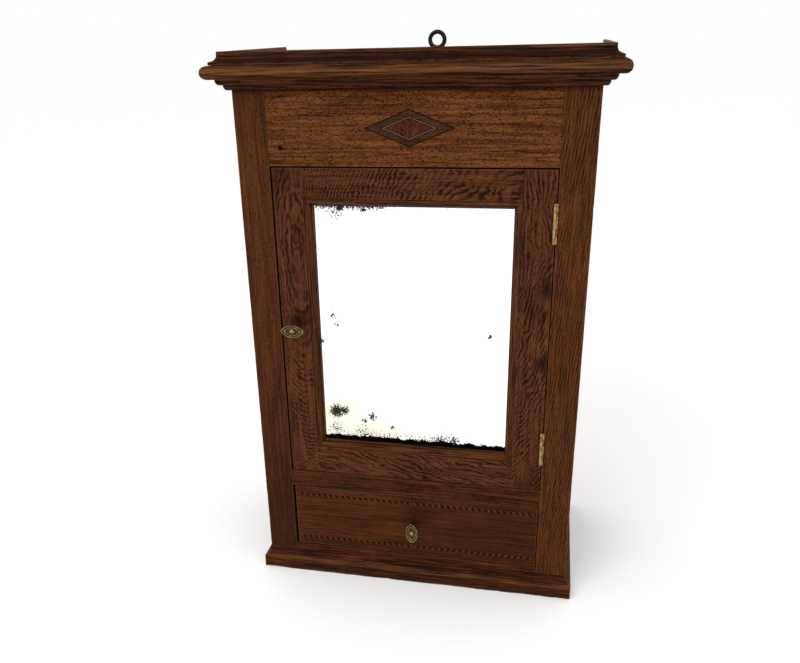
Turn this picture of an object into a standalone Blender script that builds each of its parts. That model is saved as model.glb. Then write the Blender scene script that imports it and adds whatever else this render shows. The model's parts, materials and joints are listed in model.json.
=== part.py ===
"""Oak wall cabinet with a mirrored door, a drawer and a moulded cornice.

Run with blender --background --python part.py. Metres, +Z up, the front faces -Y.
The origin is on the underside, at the centre of the cabinet's bounding box.
"""

import math

import bmesh
import bpy
from mathutils import Matrix, Vector

# ---------------------------------------------------------------- driving dimensions
CARCASS_WIDTH = 0.400
CARCASS_DEPTH = 0.226
HEIGHT = 0.6725

FRAME_THICKNESS = 0.020  # front stiles, rails, frieze and door frame
STILE_WIDTH = 0.0378
SIDE_THICKNESS = 0.016
BACK_THICKNESS = 0.008
BACK_REBATE = 0.008
BACK_JOINT_X = 0.040  # the two back boards are not equally wide

BASE_THICKNESS = 0.0295
BASE_OVERHANG = 0.0082
BASE_FACE_HEIGHT = 0.0165
BASE_QUIRK = 0.0006

TOP_THICKNESS = 0.0145
NOSE_OVERHANG = 0.0257
NOSE_FLAT = 0.0006
TOP_MOULDING_HEIGHT = 0.0140
CROWN_INNER = 0.0060  # distances out from the carcass
BED_HEIGHT = 0.0118
BED_FOOT = 0.0036  # distances out from the carcass
BED_FOOT_ROUND = 0.0070
BED_STEP = 0.0092
BED_CREST = 0.0137
BED_STEP_RISE = 0.0055
CROWN_FILLET = 0.0180
CROWN_HOLLOW = 0.0172
CROWN_NECK = 0.0103
CROWN_FILLET_HEIGHT = 0.0035
CROWN_HOLLOW_HEIGHT = 0.0065

BOTTOM_RAIL_HEIGHT = 0.0089
DRAWER_OPENING_HEIGHT = 0.0918
MIDDLE_RAIL_HEIGHT = 0.0235
FRIEZE_HEIGHT = 0.0944

DOOR_GAP_LEFT = 0.0020
DOOR_GAP_RIGHT = 0.0010
DOOR_GAP_TOP = 0.0015
DOOR_GAP_BOTTOM = 0.0010
DOOR_STILE_WIDTH = 0.0357
DOOR_TOP_RAIL = 0.0348
DOOR_BOTTOM_RAIL = 0.0362
BEAD_WIDTH = 0.0093
BEAD_DEPTH = 0.0100
BEAD_QUIRK = 0.0010
BEAD_ROUND = 0.0052
BEAD_LIP_WIDTH = 0.0018
BEAD_LIP_DEPTH = 0.0066
MIRROR_THICKNESS = 0.004
MIRROR_BACKING_THICKNESS = 0.004
BACKING_LAP = 0.006

SHELF_THICKNESS = 0.010
SHELF_SETBACK = 0.016  # from the back of the front frame
HOUSING_DEPTH = 0.005
DIVIDER_THICKNESS = 0.012
STOP_WIDTH = 0.110
STOP_HEIGHT = 0.026
STOP_DEPTH = 0.010
STOP_LAP = 0.009  # of the stop block over the door's top edge

DRAWER_GAP_LEFT = 0.0032
DRAWER_GAP_RIGHT = 0.0010
DRAWER_GAP_TOP = 0.0008
DRAWER_GAP_BOTTOM = 0.0010
DRAWER_LENGTH = 0.194
DRAWER_FRONT_THICKNESS = 0.018
DRAWER_SIDE_THICKNESS = 0.009
DRAWER_SIDE_DROP = 0.007
DRAWER_BOTTOM_THICKNESS = 0.0045
DRAWER_BOTTOM_RISE = 0.006
GROOVE_DEPTH = 0.004
TAIL_COUNT = 3
TAIL_LENGTH = 0.012
RUNNER_REACH = 0.010
GUIDE_HEIGHT = 0.026

HINGE_LENGTH = 0.0445
HINGE_INSET = 0.036  # from the end of the door to the end of the hinge
HINGE_BARREL_RADIUS = 0.0020
HINGE_PIN_RADIUS = 0.0009
HINGE_LEAF_THICKNESS = 0.0009
HINGE_LEAF_WIDTH = 0.0146
HINGE_KNUCKLES = 5
HINGE_STAND_OFF = 0.0010  # of the pin's axis in front of the door's face
SCREW_SPREAD = 0.025
SCREW_LENGTH = 0.010
SCREW_HEAD_RADIUS = 0.0022
SCREW_SHANK_RADIUS = 0.0011
SCREW_HEAD_DEPTH = 0.0013

KNOB_LENGTH = 0.030
KNOB_WIDTH = 0.016
KNOB_HEAD_THICKNESS = 0.0045
KNOB_PROJECTION = 0.020
KNOB_STEM_RADIUS = 0.0034
KNOB_FOOT_RADIUS = 0.0052
KNOB_FOOT_THICKNESS = 0.0016
SPINDLE_RADIUS = 0.0024
DRAWER_KNOB_OFFSET = 0.001
DOOR_KNOB_RISE = 0.005  # above the middle of the door
TONGUE_LENGTH = 0.030
TONGUE_WIDTH = 0.010
TONGUE_NOSE_WIDTH = 0.007
TONGUE_THICKNESS = 0.0024
RIVET_RADIUS = 0.0036
RIVET_HEIGHT = 0.0012
NUT_SIDE = 0.009
NUT_THICKNESS = 0.003

EYE_OUTER_RADIUS = 0.0120
EYE_WIRE_RADIUS = 0.0027
EYE_RISE = 0.0185  # of the ring's centre above the top board
EYE_SETBACK = 0.010  # of the ring from the wall
EYE_SHANK_DEPTH = 0.011

DIAMOND_LENGTH = 0.0985
DIAMOND_HEIGHT = 0.0390
INLAY_THICKNESS = 0.0012
ROPE_INSET = 0.0100
ROPE_HEIGHT = 0.0034
ROPE_END = 0.0030

TENON_THICKNESS = 0.007
TENON_LENGTH = 0.018

FIT = 0.0003  # gap between pieces that touch
SLIDE = 0.0006  # gap between pieces that move past each other
REACH = 0.01  # how far a cutter runs past what it cuts
ROUND_STEPS = 20
SMALL_STEPS = 12
CURVE_STEPS = 8

# ---------------------------------------------------------------- derived places
TOTAL_DEPTH = CARCASS_DEPTH + NOSE_OVERHANG
FRONT = NOSE_OVERHANG - TOTAL_DEPTH / 2
BACK = TOTAL_DEPTH / 2
FRAME_BACK = FRONT + FRAME_THICKNESS
SIDE = CARCASS_WIDTH / 2
SIDE_INNER = SIDE - SIDE_THICKNESS
OPENING = SIDE - STILE_WIDTH
BACK_FRONT = BACK - BACK_THICKNESS

BASE_TOP = BASE_THICKNESS
DRAWER_OPENING_BOTTOM = BASE_TOP + BOTTOM_RAIL_HEIGHT
DRAWER_OPENING_TOP = DRAWER_OPENING_BOTTOM + DRAWER_OPENING_HEIGHT
DOOR_OPENING_BOTTOM = DRAWER_OPENING_TOP + MIDDLE_RAIL_HEIGHT
TOP_BOARD_TOP = HEIGHT - TOP_MOULDING_HEIGHT
TOP_BOARD_BOTTOM = TOP_BOARD_TOP - TOP_THICKNESS
DOOR_OPENING_TOP = TOP_BOARD_BOTTOM - FRIEZE_HEIGHT

DOOR_LEFT = -OPENING + DOOR_GAP_LEFT
DOOR_RIGHT = OPENING - DOOR_GAP_RIGHT
DOOR_BOTTOM = DOOR_OPENING_BOTTOM + DOOR_GAP_BOTTOM
DOOR_TOP = DOOR_OPENING_TOP - DOOR_GAP_TOP
GLASS_LEFT = DOOR_LEFT + DOOR_STILE_WIDTH
GLASS_RIGHT = DOOR_RIGHT - DOOR_STILE_WIDTH
GLASS_BOTTOM = DOOR_BOTTOM + DOOR_BOTTOM_RAIL
GLASS_TOP = DOOR_TOP - DOOR_TOP_RAIL

HINGE_X = OPENING - FIT - HINGE_BARREL_RADIUS
HINGE_Y = FRONT - HINGE_STAND_OFF
HINGE_CENTRES = {
    "upper": DOOR_TOP - HINGE_INSET - HINGE_LENGTH / 2,
    "lower": DOOR_BOTTOM + HINGE_INSET + HINGE_LENGTH / 2,
}
KNOB_X = DOOR_LEFT + DOOR_STILE_WIDTH / 2
KNOB_Z = (DOOR_BOTTOM + DOOR_TOP) / 2 + DOOR_KNOB_RISE

DRAWER_LEFT = -OPENING + DRAWER_GAP_LEFT
DRAWER_RIGHT = OPENING - DRAWER_GAP_RIGHT
DRAWER_BOTTOM = DRAWER_OPENING_BOTTOM + DRAWER_GAP_BOTTOM
DRAWER_TOP = DRAWER_OPENING_TOP - DRAWER_GAP_TOP
DRAWER_MIDDLE = (DRAWER_BOTTOM + DRAWER_TOP) / 2
DRAWER_FRONT_BACK = FRONT + DRAWER_FRONT_THICKNESS
DRAWER_BACK = FRONT + DRAWER_LENGTH

# name: (colour, roughness, metallic)
FINISHES = {
    "oak": ((0.16, 0.062, 0.028), 0.45, 0.0),
    "dark_oak": ((0.10, 0.040, 0.020), 0.45, 0.0),
    "pale_wood": ((0.42, 0.27, 0.14), 0.6, 0.0),
    "ebony_inlay": ((0.045, 0.028, 0.02), 0.4, 0.0),
    "rope_inlay": ((0.11, 0.05, 0.022), 0.4, 0.0),
    "brass": ((0.60, 0.44, 0.17), 0.3, 1.0),
    "steel": ((0.35, 0.33, 0.30), 0.4, 1.0),
    "black_iron": ((0.02, 0.02, 0.02), 0.5, 0.8),
    "mirror": ((0.90, 0.91, 0.90), 0.03, 1.0),
}


# ---------------------------------------------------------------- modelling helpers
def clear_scene():
    for obj in list(bpy.data.objects):
        bpy.data.objects.remove(obj)


def new_collection(name):
    collection = bpy.data.collections.new(name)
    bpy.context.scene.collection.children.link(collection)
    return collection


def make_finishes():
    made = {}
    for name, (colour, roughness, metallic) in FINISHES.items():
        material = bpy.data.materials.new(name)
        material.use_nodes = True
        shader = material.node_tree.nodes["Principled BSDF"]
        shader.inputs["Base Color"].default_value = (*colour, 1.0)
        shader.inputs["Roughness"].default_value = roughness
        shader.inputs["Metallic"].default_value = metallic
        made[name] = material
    return made


def move_to(obj, collection):
    for old in obj.users_collection:
        old.objects.unlink(obj)
    collection.objects.link(obj)


def part(obj, name, finish):
    """The object becomes a named piece of the cabinet."""
    obj.name = name
    obj.data.name = name
    obj.data.materials.clear()
    obj.data.materials.append(MATERIALS[finish])
    move_to(obj, PARTS)
    return obj


def helper(obj, name):
    """The object becomes a cutter or a stock piece that is joined to a part."""
    obj.name = name
    obj.hide_render = True
    obj.display_type = "WIRE"
    move_to(obj, CUTTERS)
    return obj


def box_shape(low, high):
    low, high = Vector(low), Vector(high)
    bpy.ops.mesh.primitive_cube_add(size=1, location=(low + high) / 2)
    obj = bpy.context.object
    obj.data.transform(Matrix.Diagonal((*(high - low), 1)))
    return obj


def board(name, low, high, finish="oak"):
    return part(box_shape(low, high), name, finish)


def cylinder_shape(radius, start, end, steps=ROUND_STEPS, end_radius=None):
    """A cylinder, or a cone, from the point start to the point end."""
    start, end = Vector(start), Vector(end)
    along = end - start
    bpy.ops.mesh.primitive_cone_add(
        vertices=steps,
        radius1=radius,
        radius2=radius if end_radius is None else end_radius,
        depth=along.length,
        location=(start + end) / 2,
        rotation=along.to_track_quat("Z", "Y").to_euler(),
    )
    return bpy.context.object


def prism_shape(outline, place, start, end):
    """A flat outline pushed along its normal: place(a, b, c) is where point a, b lies at distance c."""
    mesh = bmesh.new()
    rim = [mesh.verts.new(place(a, b, start)) for a, b in outline]
    face = mesh.faces.new(rim)
    grown = bmesh.ops.extrude_face_region(mesh, geom=[face])
    step = place(0, 0, end) - place(0, 0, start)
    moved = [item for item in grown["geom"] if isinstance(item, bmesh.types.BMVert)]
    bmesh.ops.translate(mesh, verts=moved, vec=step)
    bmesh.ops.recalc_face_normals(mesh, faces=mesh.faces)
    data = bpy.data.meshes.new("prism")
    mesh.to_mesh(data)
    mesh.free()
    obj = bpy.data.objects.new("prism", data)
    bpy.context.scene.collection.objects.link(obj)
    return obj


def trim(obj, point, normal):
    """Removes what lies beyond the plane and closes the cut."""
    mesh = bmesh.new()
    mesh.from_mesh(obj.data)
    everything = [*mesh.verts, *mesh.edges, *mesh.faces]
    cut = bmesh.ops.bisect_plane(mesh, geom=everything, plane_co=point, plane_no=normal, clear_outer=True)
    edges = [item for item in cut["geom_cut"] if isinstance(item, bmesh.types.BMEdge)]
    bmesh.ops.contextual_create(mesh, geom=edges)
    bmesh.ops.recalc_face_normals(mesh, faces=mesh.faces)
    mesh.to_mesh(obj.data)
    mesh.free()


def boolean(target, tool, operation):
    modifier = target.modifiers.new(f"{operation.lower()} {tool.name}", "BOOLEAN")
    modifier.operation = operation
    modifier.solver = "EXACT"
    modifier.object = tool


def cut(target, shape, label):
    boolean(target, helper(shape, f"cut_{target.name}_{label}"), "DIFFERENCE")


def add(target, shape, label):
    boolean(target, helper(shape, f"join_{target.name}_{label}"), "UNION")


def cut_box(target, low, high, label):
    cut(target, box_shape(low, high), label)


def arc(centre, radii, start, end, steps=CURVE_STEPS):
    """Points of an elliptical arc, with its angles in degrees."""
    angles = [math.radians(start + (end - start) * i / steps) for i in range(steps + 1)]
    return [(centre[0] + radii[0] * math.cos(t), centre[1] + radii[1] * math.sin(t)) for t in angles]


def tenon(rail, stile, label, side, root_x, low, high):
    """A tenon on a rail's end and its mortise in the stile. low and high are (y, z); side is -1 or 1."""
    tip_x = root_x + side * TENON_LENGTH
    inner_x = root_x - side * REACH
    xs = sorted((inner_x, tip_x))
    add(rail, box_shape((xs[0], *low), (xs[1], *high)), label)
    xs = sorted((root_x - side * REACH, tip_x + side * FIT))
    low = [value - FIT for value in low]
    high = [value + FIT for value in high]
    cut_box(stile, (xs[0], *low), (xs[1], *high), label)


def frame_joint(rail, stile, label, side, root_x, low_z, high_z):
    """A centred tenon between two members of frame thickness whose front is at FRONT."""
    middle = FRONT + FRAME_THICKNESS / 2
    shoulder = (high_z - low_z) / 6
    tenon(
        rail,
        stile,
        label,
        side,
        root_x,
        (middle - TENON_THICKNESS / 2, low_z + shoulder),
        (middle + TENON_THICKNESS / 2, high_z - shoulder),
    )


# ---------------------------------------------------------------- carcass
def make_side_panels():
    made = {}
    for label, side in (("left", -1), ("right", 1)):
        xs = sorted((side * SIDE, side * SIDE_INNER))
        low = (xs[0], FRAME_BACK + FIT, BASE_TOP + FIT)
        high = (xs[1], BACK, TOP_BOARD_BOTTOM - FIT)
        panel = board(f"side_panel_{label}", low, high)
        xs = sorted((side * (SIDE - SIDE_THICKNESS - REACH), side * (SIDE - BACK_REBATE)))
        low = (xs[0], BACK_FRONT - FIT, -REACH)
        cut_box(panel, low, (xs[1], BACK + REACH, HEIGHT), "back_rebate")
        made[side] = panel
    return made


def make_back_boards():
    reach = SIDE - BACK_REBATE - FIT
    spans = {"wide": (-reach, BACK_JOINT_X - FIT / 2), "narrow": (BACK_JOINT_X + FIT / 2, reach)}
    for label, (left, right) in spans.items():
        low = (left, BACK_FRONT, BASE_TOP + FIT)
        board(f"back_board_{label}", low, (right, BACK, TOP_BOARD_BOTTOM - FIT), "pale_wood")


def make_front_frame():
    stiles = {}
    for label, side in (("left", -1), ("right", 1)):
        xs = sorted((side * SIDE, side * OPENING))
        low = (xs[0], FRONT, BASE_TOP + FIT)
        stiles[side] = board(f"stile_{label}", low, (xs[1], FRAME_BACK, TOP_BOARD_BOTTOM - FIT))
    rails = {
        "bottom_rail": (BASE_TOP + FIT, DRAWER_OPENING_BOTTOM),
        "middle_rail": (DRAWER_OPENING_TOP, DOOR_OPENING_BOTTOM),
        "frieze_board": (DOOR_OPENING_TOP, TOP_BOARD_BOTTOM - FIT),
    }
    made = {}
    for name, (low_z, high_z) in rails.items():
        width = OPENING - FIT
        rail = board(name, (-width, FRONT, low_z), (width, FRAME_BACK, high_z))
        for label, side in (("left", -1), ("right", 1)):
            frame_joint(rail, stiles[side], f"{name}_{label}", side, side * width, low_z, high_z)
        made[name] = rail
    return stiles, made


def make_inside(panels):
    """The cupboard's floor and its two shelves, housed in the side panels."""
    reach = SIDE_INNER + HOUSING_DEPTH
    clear = DOOR_OPENING_TOP - DOOR_OPENING_BOTTOM
    spacing = clear / 3
    floor_low = DOOR_OPENING_BOTTOM - DIVIDER_THICKNESS
    boards = {
        "cupboard_floor": (FRAME_BACK + FIT, floor_low, DIVIDER_THICKNESS),
        "shelf_lower": (FRAME_BACK + SHELF_SETBACK, DOOR_OPENING_BOTTOM + spacing, SHELF_THICKNESS),
        "shelf_upper": (FRAME_BACK + SHELF_SETBACK, DOOR_OPENING_BOTTOM + 2 * spacing, SHELF_THICKNESS),
    }
    for name, (front, low_z, thickness) in boards.items():
        high_z = low_z + thickness
        board(name, (-reach, front, low_z), (reach, BACK_FRONT - FIT, high_z), "pale_wood")
        for side, panel in panels.items():
            xs = sorted((side * (SIDE_INNER - REACH), side * (reach + FIT)))
            low = (xs[0], front - FIT, low_z - FIT)
            cut_box(panel, low, (xs[1], BACK_FRONT, high_z + FIT), name)


def make_door_stop():
    """A block glued behind the frieze, which the closed door meets."""
    low = (-STOP_WIDTH / 2, FRAME_BACK + FIT, DOOR_OPENING_TOP - STOP_LAP)
    high = (STOP_WIDTH / 2, low[1] + STOP_DEPTH, low[2] + STOP_HEIGHT)
    board("door_stop", low, high, "pale_wood")


def make_drawer_runners():
    """L-shaped battens: the foot carries the drawer's side and the upright guides it."""
    foot_top = DRAWER_OPENING_BOTTOM
    for label, side in (("left", -1), ("right", 1)):
        outer = SIDE_INNER - FIT
        outline = [
            (OPENING - RUNNER_REACH, BASE_TOP + FIT),
            (outer, BASE_TOP + FIT),
            (outer, foot_top + GUIDE_HEIGHT),
            (OPENING, foot_top + GUIDE_HEIGHT),
            (OPENING, foot_top),
            (OPENING - RUNNER_REACH, foot_top),
        ]
        place = lambda a, b, c, s=side: Vector((s * a, c, b))
        shape = prism_shape(outline, place, FRAME_BACK + FIT, BACK_FRONT - FIT)
        part(shape, f"drawer_runner_{label}", "pale_wood")


def make_base_board():
    """A solid board with a cavetto worked on its front and side edges."""
    out = SIDE + BASE_OVERHANG
    base = board("base_board", (-out, FRONT - BASE_OVERHANG, 0), (out, BACK, BASE_THICKNESS))
    lip = BASE_OVERHANG - BASE_QUIRK
    hollow_width = lip - BASE_QUIRK
    hollow = arc((lip, BASE_THICKNESS), (hollow_width, BASE_THICKNESS - BASE_FACE_HEIGHT), 270, 180)
    outline = [(BASE_OVERHANG + REACH, BASE_FACE_HEIGHT), *hollow]
    outline += [(BASE_QUIRK, BASE_THICKNESS + REACH), (BASE_OVERHANG + REACH, BASE_THICKNESS + REACH)]
    wide = out + REACH
    cut(base, prism_shape(outline, lambda a, b, c: Vector((c, FRONT - a, b)), -wide, wide), "front_cavetto")
    for label, side in (("left", -1), ("right", 1)):
        place = lambda a, b, c, s=side: Vector((s * (SIDE + a), c, b))
        hollow = prism_shape(outline, place, FRONT - BASE_OVERHANG - REACH, BACK + REACH)
        cut(base, hollow, f"{label}_cavetto")


def make_top_board():
    """A solid board with a half-round nose on its front and side edges."""
    out = SIDE + NOSE_OVERHANG
    low = (-out, FRONT - NOSE_OVERHANG, TOP_BOARD_BOTTOM)
    top = board("top_board", low, (out, BACK, TOP_BOARD_TOP), "dark_oak")
    mesh = bmesh.new()
    mesh.from_mesh(top.data)
    weight = mesh.edges.layers.float.new("bevel_weight_edge")
    centre_y = top.location.y
    for edge in mesh.edges:
        ends = [vert.co for vert in edge.verts]
        upright = abs(ends[0].z - ends[1].z) > TOP_THICKNESS / 2
        rear = all(end.y + centre_y > BACK - FIT for end in ends)
        edge[weight] = 0.0 if upright or rear else 1.0
    mesh.to_mesh(top.data)
    mesh.free()
    bevel = top.modifiers.new("half-round nose", "BEVEL")
    bevel.limit_method = "WEIGHT"
    bevel.width = (TOP_THICKNESS - NOSE_FLAT) / 2
    bevel.segments = CURVE_STEPS + 1
    shank = EYE_WIRE_RADIUS + FIT
    eye_y = BACK - EYE_SETBACK
    bottom = (0, eye_y, TOP_BOARD_TOP - EYE_SHANK_DEPTH - FIT)
    cut(top, cylinder_shape(shank, bottom, (0, eye_y, TOP_BOARD_TOP + REACH), SMALL_STEPS), "eye_hole")


def mitred_surround(name, outline, low_z, finish):
    """Front and side mouldings of one outline, which is (distance out from the carcass, height)."""
    widest = max(a for a, _ in outline)
    half = SIDE + widest + REACH
    corner = SIDE + FIT / 2
    front = prism_shape(outline, lambda a, b, c: Vector((c, FRONT - a, low_z + b)), -half, half)
    for side in (-1, 1):
        trim(front, (side * corner - side * FIT, FRONT, 0), (side, 1, 0))
    part(front, f"{name}_front", finish)
    for label, side in (("left", -1), ("right", 1)):
        place = lambda a, b, c, s=side: Vector((s * (SIDE + a), c, low_z + b))
        shape = prism_shape(outline, place, FRONT - widest - REACH, BACK)
        trim(shape, (side * corner, FRONT, 0), (-side, -1, 0))
        part(shape, f"{name}_{label}", finish)


def make_cornice():
    """A bed moulding of two quarter rounds under the nosed board, and a hollow crown on top of it."""
    bed_top = BED_HEIGHT - FIT
    crest_rise = bed_top - FIT - BED_STEP_RISE
    bed = [(FIT, 0), (BED_FOOT, 0)]
    bed += arc((BED_FOOT, BED_STEP_RISE), (BED_FOOT_ROUND - BED_FOOT, BED_STEP_RISE), 270, 360)[1:]
    bed += arc((BED_STEP, BED_STEP_RISE + crest_rise), (BED_CREST - BED_STEP, crest_rise), 270, 360)
    bed += [(BED_CREST, bed_top), (FIT, bed_top)]
    mitred_surround("bed_moulding", bed, TOP_BOARD_BOTTOM - BED_HEIGHT, "dark_oak")
    crown_top = TOP_MOULDING_HEIGHT - FIT
    hollow_top = CROWN_FILLET_HEIGHT + CROWN_HOLLOW_HEIGHT
    crown = [(CROWN_INNER, 0), (CROWN_FILLET, 0), (CROWN_FILLET, CROWN_FILLET_HEIGHT)]
    crown += arc((CROWN_HOLLOW, hollow_top), (CROWN_HOLLOW - CROWN_NECK, CROWN_HOLLOW_HEIGHT), 270, 180)
    crown += [(CROWN_NECK, crown_top), (CROWN_INNER, crown_top)]
    mitred_surround("top_moulding", crown, TOP_BOARD_TOP + FIT, "dark_oak")


def make_screw_eye():
    y = BACK - EYE_SETBACK
    ring_z = TOP_BOARD_TOP + EYE_RISE
    ring_radius = EYE_OUTER_RADIUS - EYE_WIRE_RADIUS
    bpy.ops.mesh.primitive_torus_add(
        location=(0, y, ring_z),
        rotation=(math.pi / 2, 0, 0),
        major_segments=24,
        minor_segments=10,
        major_radius=ring_radius,
        minor_radius=EYE_WIRE_RADIUS,
    )
    eye = part(bpy.context.object, "screw_eye", "black_iron")
    foot = (0, y, TOP_BOARD_TOP - EYE_SHANK_DEPTH)
    add(eye, cylinder_shape(EYE_WIRE_RADIUS, foot, (0, y, ring_z - ring_radius), SMALL_STEPS), "shank")
    collar_low = (0, y, TOP_BOARD_TOP + FIT)
    collar_high = (0, y, TOP_BOARD_TOP + FIT + EYE_WIRE_RADIUS)
    collar = cylinder_shape(2 * EYE_WIRE_RADIUS, collar_low, collar_high, SMALL_STEPS, EYE_WIRE_RADIUS)
    add(eye, collar, "collar")


def make_frieze_inlay(frieze):
    """A diamond let into the middle of the frieze's visible face."""
    middle = (DOOR_OPENING_TOP + TOP_BOARD_BOTTOM - BED_HEIGHT) / 2
    place = lambda a, b, c: Vector((a, c, middle + b))
    corners = [(1, 0), (0, 1), (-1, 0), (0, -1)]
    half = (DIAMOND_LENGTH / 2, DIAMOND_HEIGHT / 2)
    inlay = [(a * half[0], b * half[1]) for a, b in corners]
    part(prism_shape(inlay, place, FRONT, FRONT + INLAY_THICKNESS), "frieze_inlay", "ebony_inlay")
    grown = 1 + 2 * FIT / half[1]
    pocket = [(a * half[0] * grown, b * half[1] * grown) for a, b in corners]
    cut(frieze, prism_shape(pocket, place, FRONT - REACH, FRONT + INLAY_THICKNESS + FIT), "inlay_pocket")


# ---------------------------------------------------------------- door
def make_door_frame():
    middle_low = DOOR_BOTTOM
    stiles = {}
    for label, side, xs in (
        ("left", -1, (DOOR_LEFT, GLASS_LEFT)),
        ("right", 1, (GLASS_RIGHT, DOOR_RIGHT)),
    ):
        low = (xs[0], FRONT, middle_low)
        stiles[side] = board(f"door_stile_{label}", low, (xs[1], FRAME_BACK, DOOR_TOP), "dark_oak")
    rails = {
        "door_rail_top": (GLASS_TOP, DOOR_TOP),
        "door_rail_bottom": (DOOR_BOTTOM, GLASS_BOTTOM),
    }
    members = list(stiles.values())
    for name, (low_z, high_z) in rails.items():
        low = (GLASS_LEFT + FIT, FRONT, low_z)
        rail = board(name, low, (GLASS_RIGHT - FIT, FRAME_BACK, high_z), "dark_oak")
        frame_joint(rail, stiles[-1], f"{name}_left", -1, GLASS_LEFT + FIT, low_z, high_z)
        frame_joint(rail, stiles[1], f"{name}_right", 1, GLASS_RIGHT - FIT, low_z, high_z)
        members.append(rail)
    rebate_front = FRAME_BACK - MIRROR_BACKING_THICKNESS - FIT
    for member in members:
        low = (GLASS_LEFT - BACKING_LAP, rebate_front, GLASS_BOTTOM - BACKING_LAP)
        high = (GLASS_RIGHT + BACKING_LAP, FRAME_BACK + REACH, GLASS_TOP + BACKING_LAP)
        cut_box(member, low, high, "backing_rebate")
    return stiles


def make_mirror():
    front = FRONT + BEAD_DEPTH + FIT
    low = (GLASS_LEFT + FIT, front, GLASS_BOTTOM + FIT)
    high = (GLASS_RIGHT - FIT, front + MIRROR_THICKNESS, GLASS_TOP - FIT)
    board("mirror_glass", low, high, "mirror")
    lap = BACKING_LAP - FIT
    low = (GLASS_LEFT - lap, FRAME_BACK - MIRROR_BACKING_THICKNESS, GLASS_BOTTOM - lap)
    high = (GLASS_RIGHT + lap, FRAME_BACK, GLASS_TOP + lap)
    board("mirror_backing_board", low, high, "pale_wood")


def bead_outline():
    """(distance in from the frame's edge, depth behind the door's face)."""
    round_end = BEAD_WIDTH - BEAD_LIP_WIDTH
    outline = [(FIT, BEAD_QUIRK), (BEAD_QUIRK, BEAD_QUIRK), (2 * BEAD_QUIRK, 0)]
    outline += arc((round_end - BEAD_ROUND, BEAD_ROUND), (BEAD_ROUND, BEAD_ROUND), 270, 360)
    outline += [(round_end, BEAD_LIP_DEPTH), (BEAD_WIDTH, BEAD_LIP_DEPTH)]
    outline += [(BEAD_WIDTH, BEAD_DEPTH), (FIT, BEAD_DEPTH)]
    return outline


def make_beads():
    """Mitred beads that hold the mirror in the door frame."""
    outline = bead_outline()
    corners = {
        "left": (GLASS_LEFT, 1, "x"),
        "right": (GLASS_RIGHT, -1, "x"),
        "bottom": (GLASS_BOTTOM, 1, "z"),
        "top": (GLASS_TOP, -1, "z"),
    }
    low = Vector((GLASS_LEFT, 0, GLASS_BOTTOM))
    high = Vector((GLASS_RIGHT, 0, GLASS_TOP))
    for label, (edge, inward, axis) in corners.items():
        if axis == "x":
            place = lambda a, b, c, e=edge, i=inward: Vector((e + i * a, FRONT + b, c))
            shape = prism_shape(outline, place, GLASS_BOTTOM, GLASS_TOP)
            trim(shape, (edge, 0, low.z + FIT), (inward, 0, -1))
            trim(shape, (edge, 0, high.z - FIT), (inward, 0, 1))
        else:
            place = lambda a, b, c, e=edge, i=inward: Vector((c, FRONT + b, e + i * a))
            shape = prism_shape(outline, place, GLASS_LEFT, GLASS_RIGHT)
            trim(shape, (low.x, 0, edge), (-1, 0, inward))
            trim(shape, (high.x, 0, edge), (1, 0, inward))
        part(shape, f"door_bead_{label}", "dark_oak")


# ---------------------------------------------------------------- hinges
def screw_shape(head, direction, grow=0.0):
    """A countersunk screw whose flat head is at the point head. grow makes the hole's cutter."""
    direction = Vector(direction).normalized()
    tip = SCREW_LENGTH + grow
    outline = [
        (0, -REACH if grow else 0),
        (SCREW_HEAD_RADIUS + grow, -REACH if grow else 0),
        (SCREW_HEAD_RADIUS + grow, 0),
        (SCREW_SHANK_RADIUS + grow, SCREW_HEAD_DEPTH),
        (SCREW_SHANK_RADIUS + grow, tip * 0.75),
        (0, tip),
    ]
    if not grow:
        outline.pop(1)
    data = bpy.data.meshes.new("screw")
    points = [(radius, 0, -depth) for radius, depth in outline]
    data.from_pydata(points, [(i, i + 1) for i in range(len(points) - 1)], [])
    obj = bpy.data.objects.new("screw", data)
    bpy.context.scene.collection.objects.link(obj)
    turn = obj.modifiers.new("turned", "SCREW")
    turn.steps = SMALL_STEPS
    turn.render_steps = SMALL_STEPS
    turn.use_merge_vertices = True
    turn.merge_threshold = 0.00001
    obj.location = head
    obj.rotation_euler = (-direction).to_track_quat("Z", "Y").to_euler()
    return obj


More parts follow.
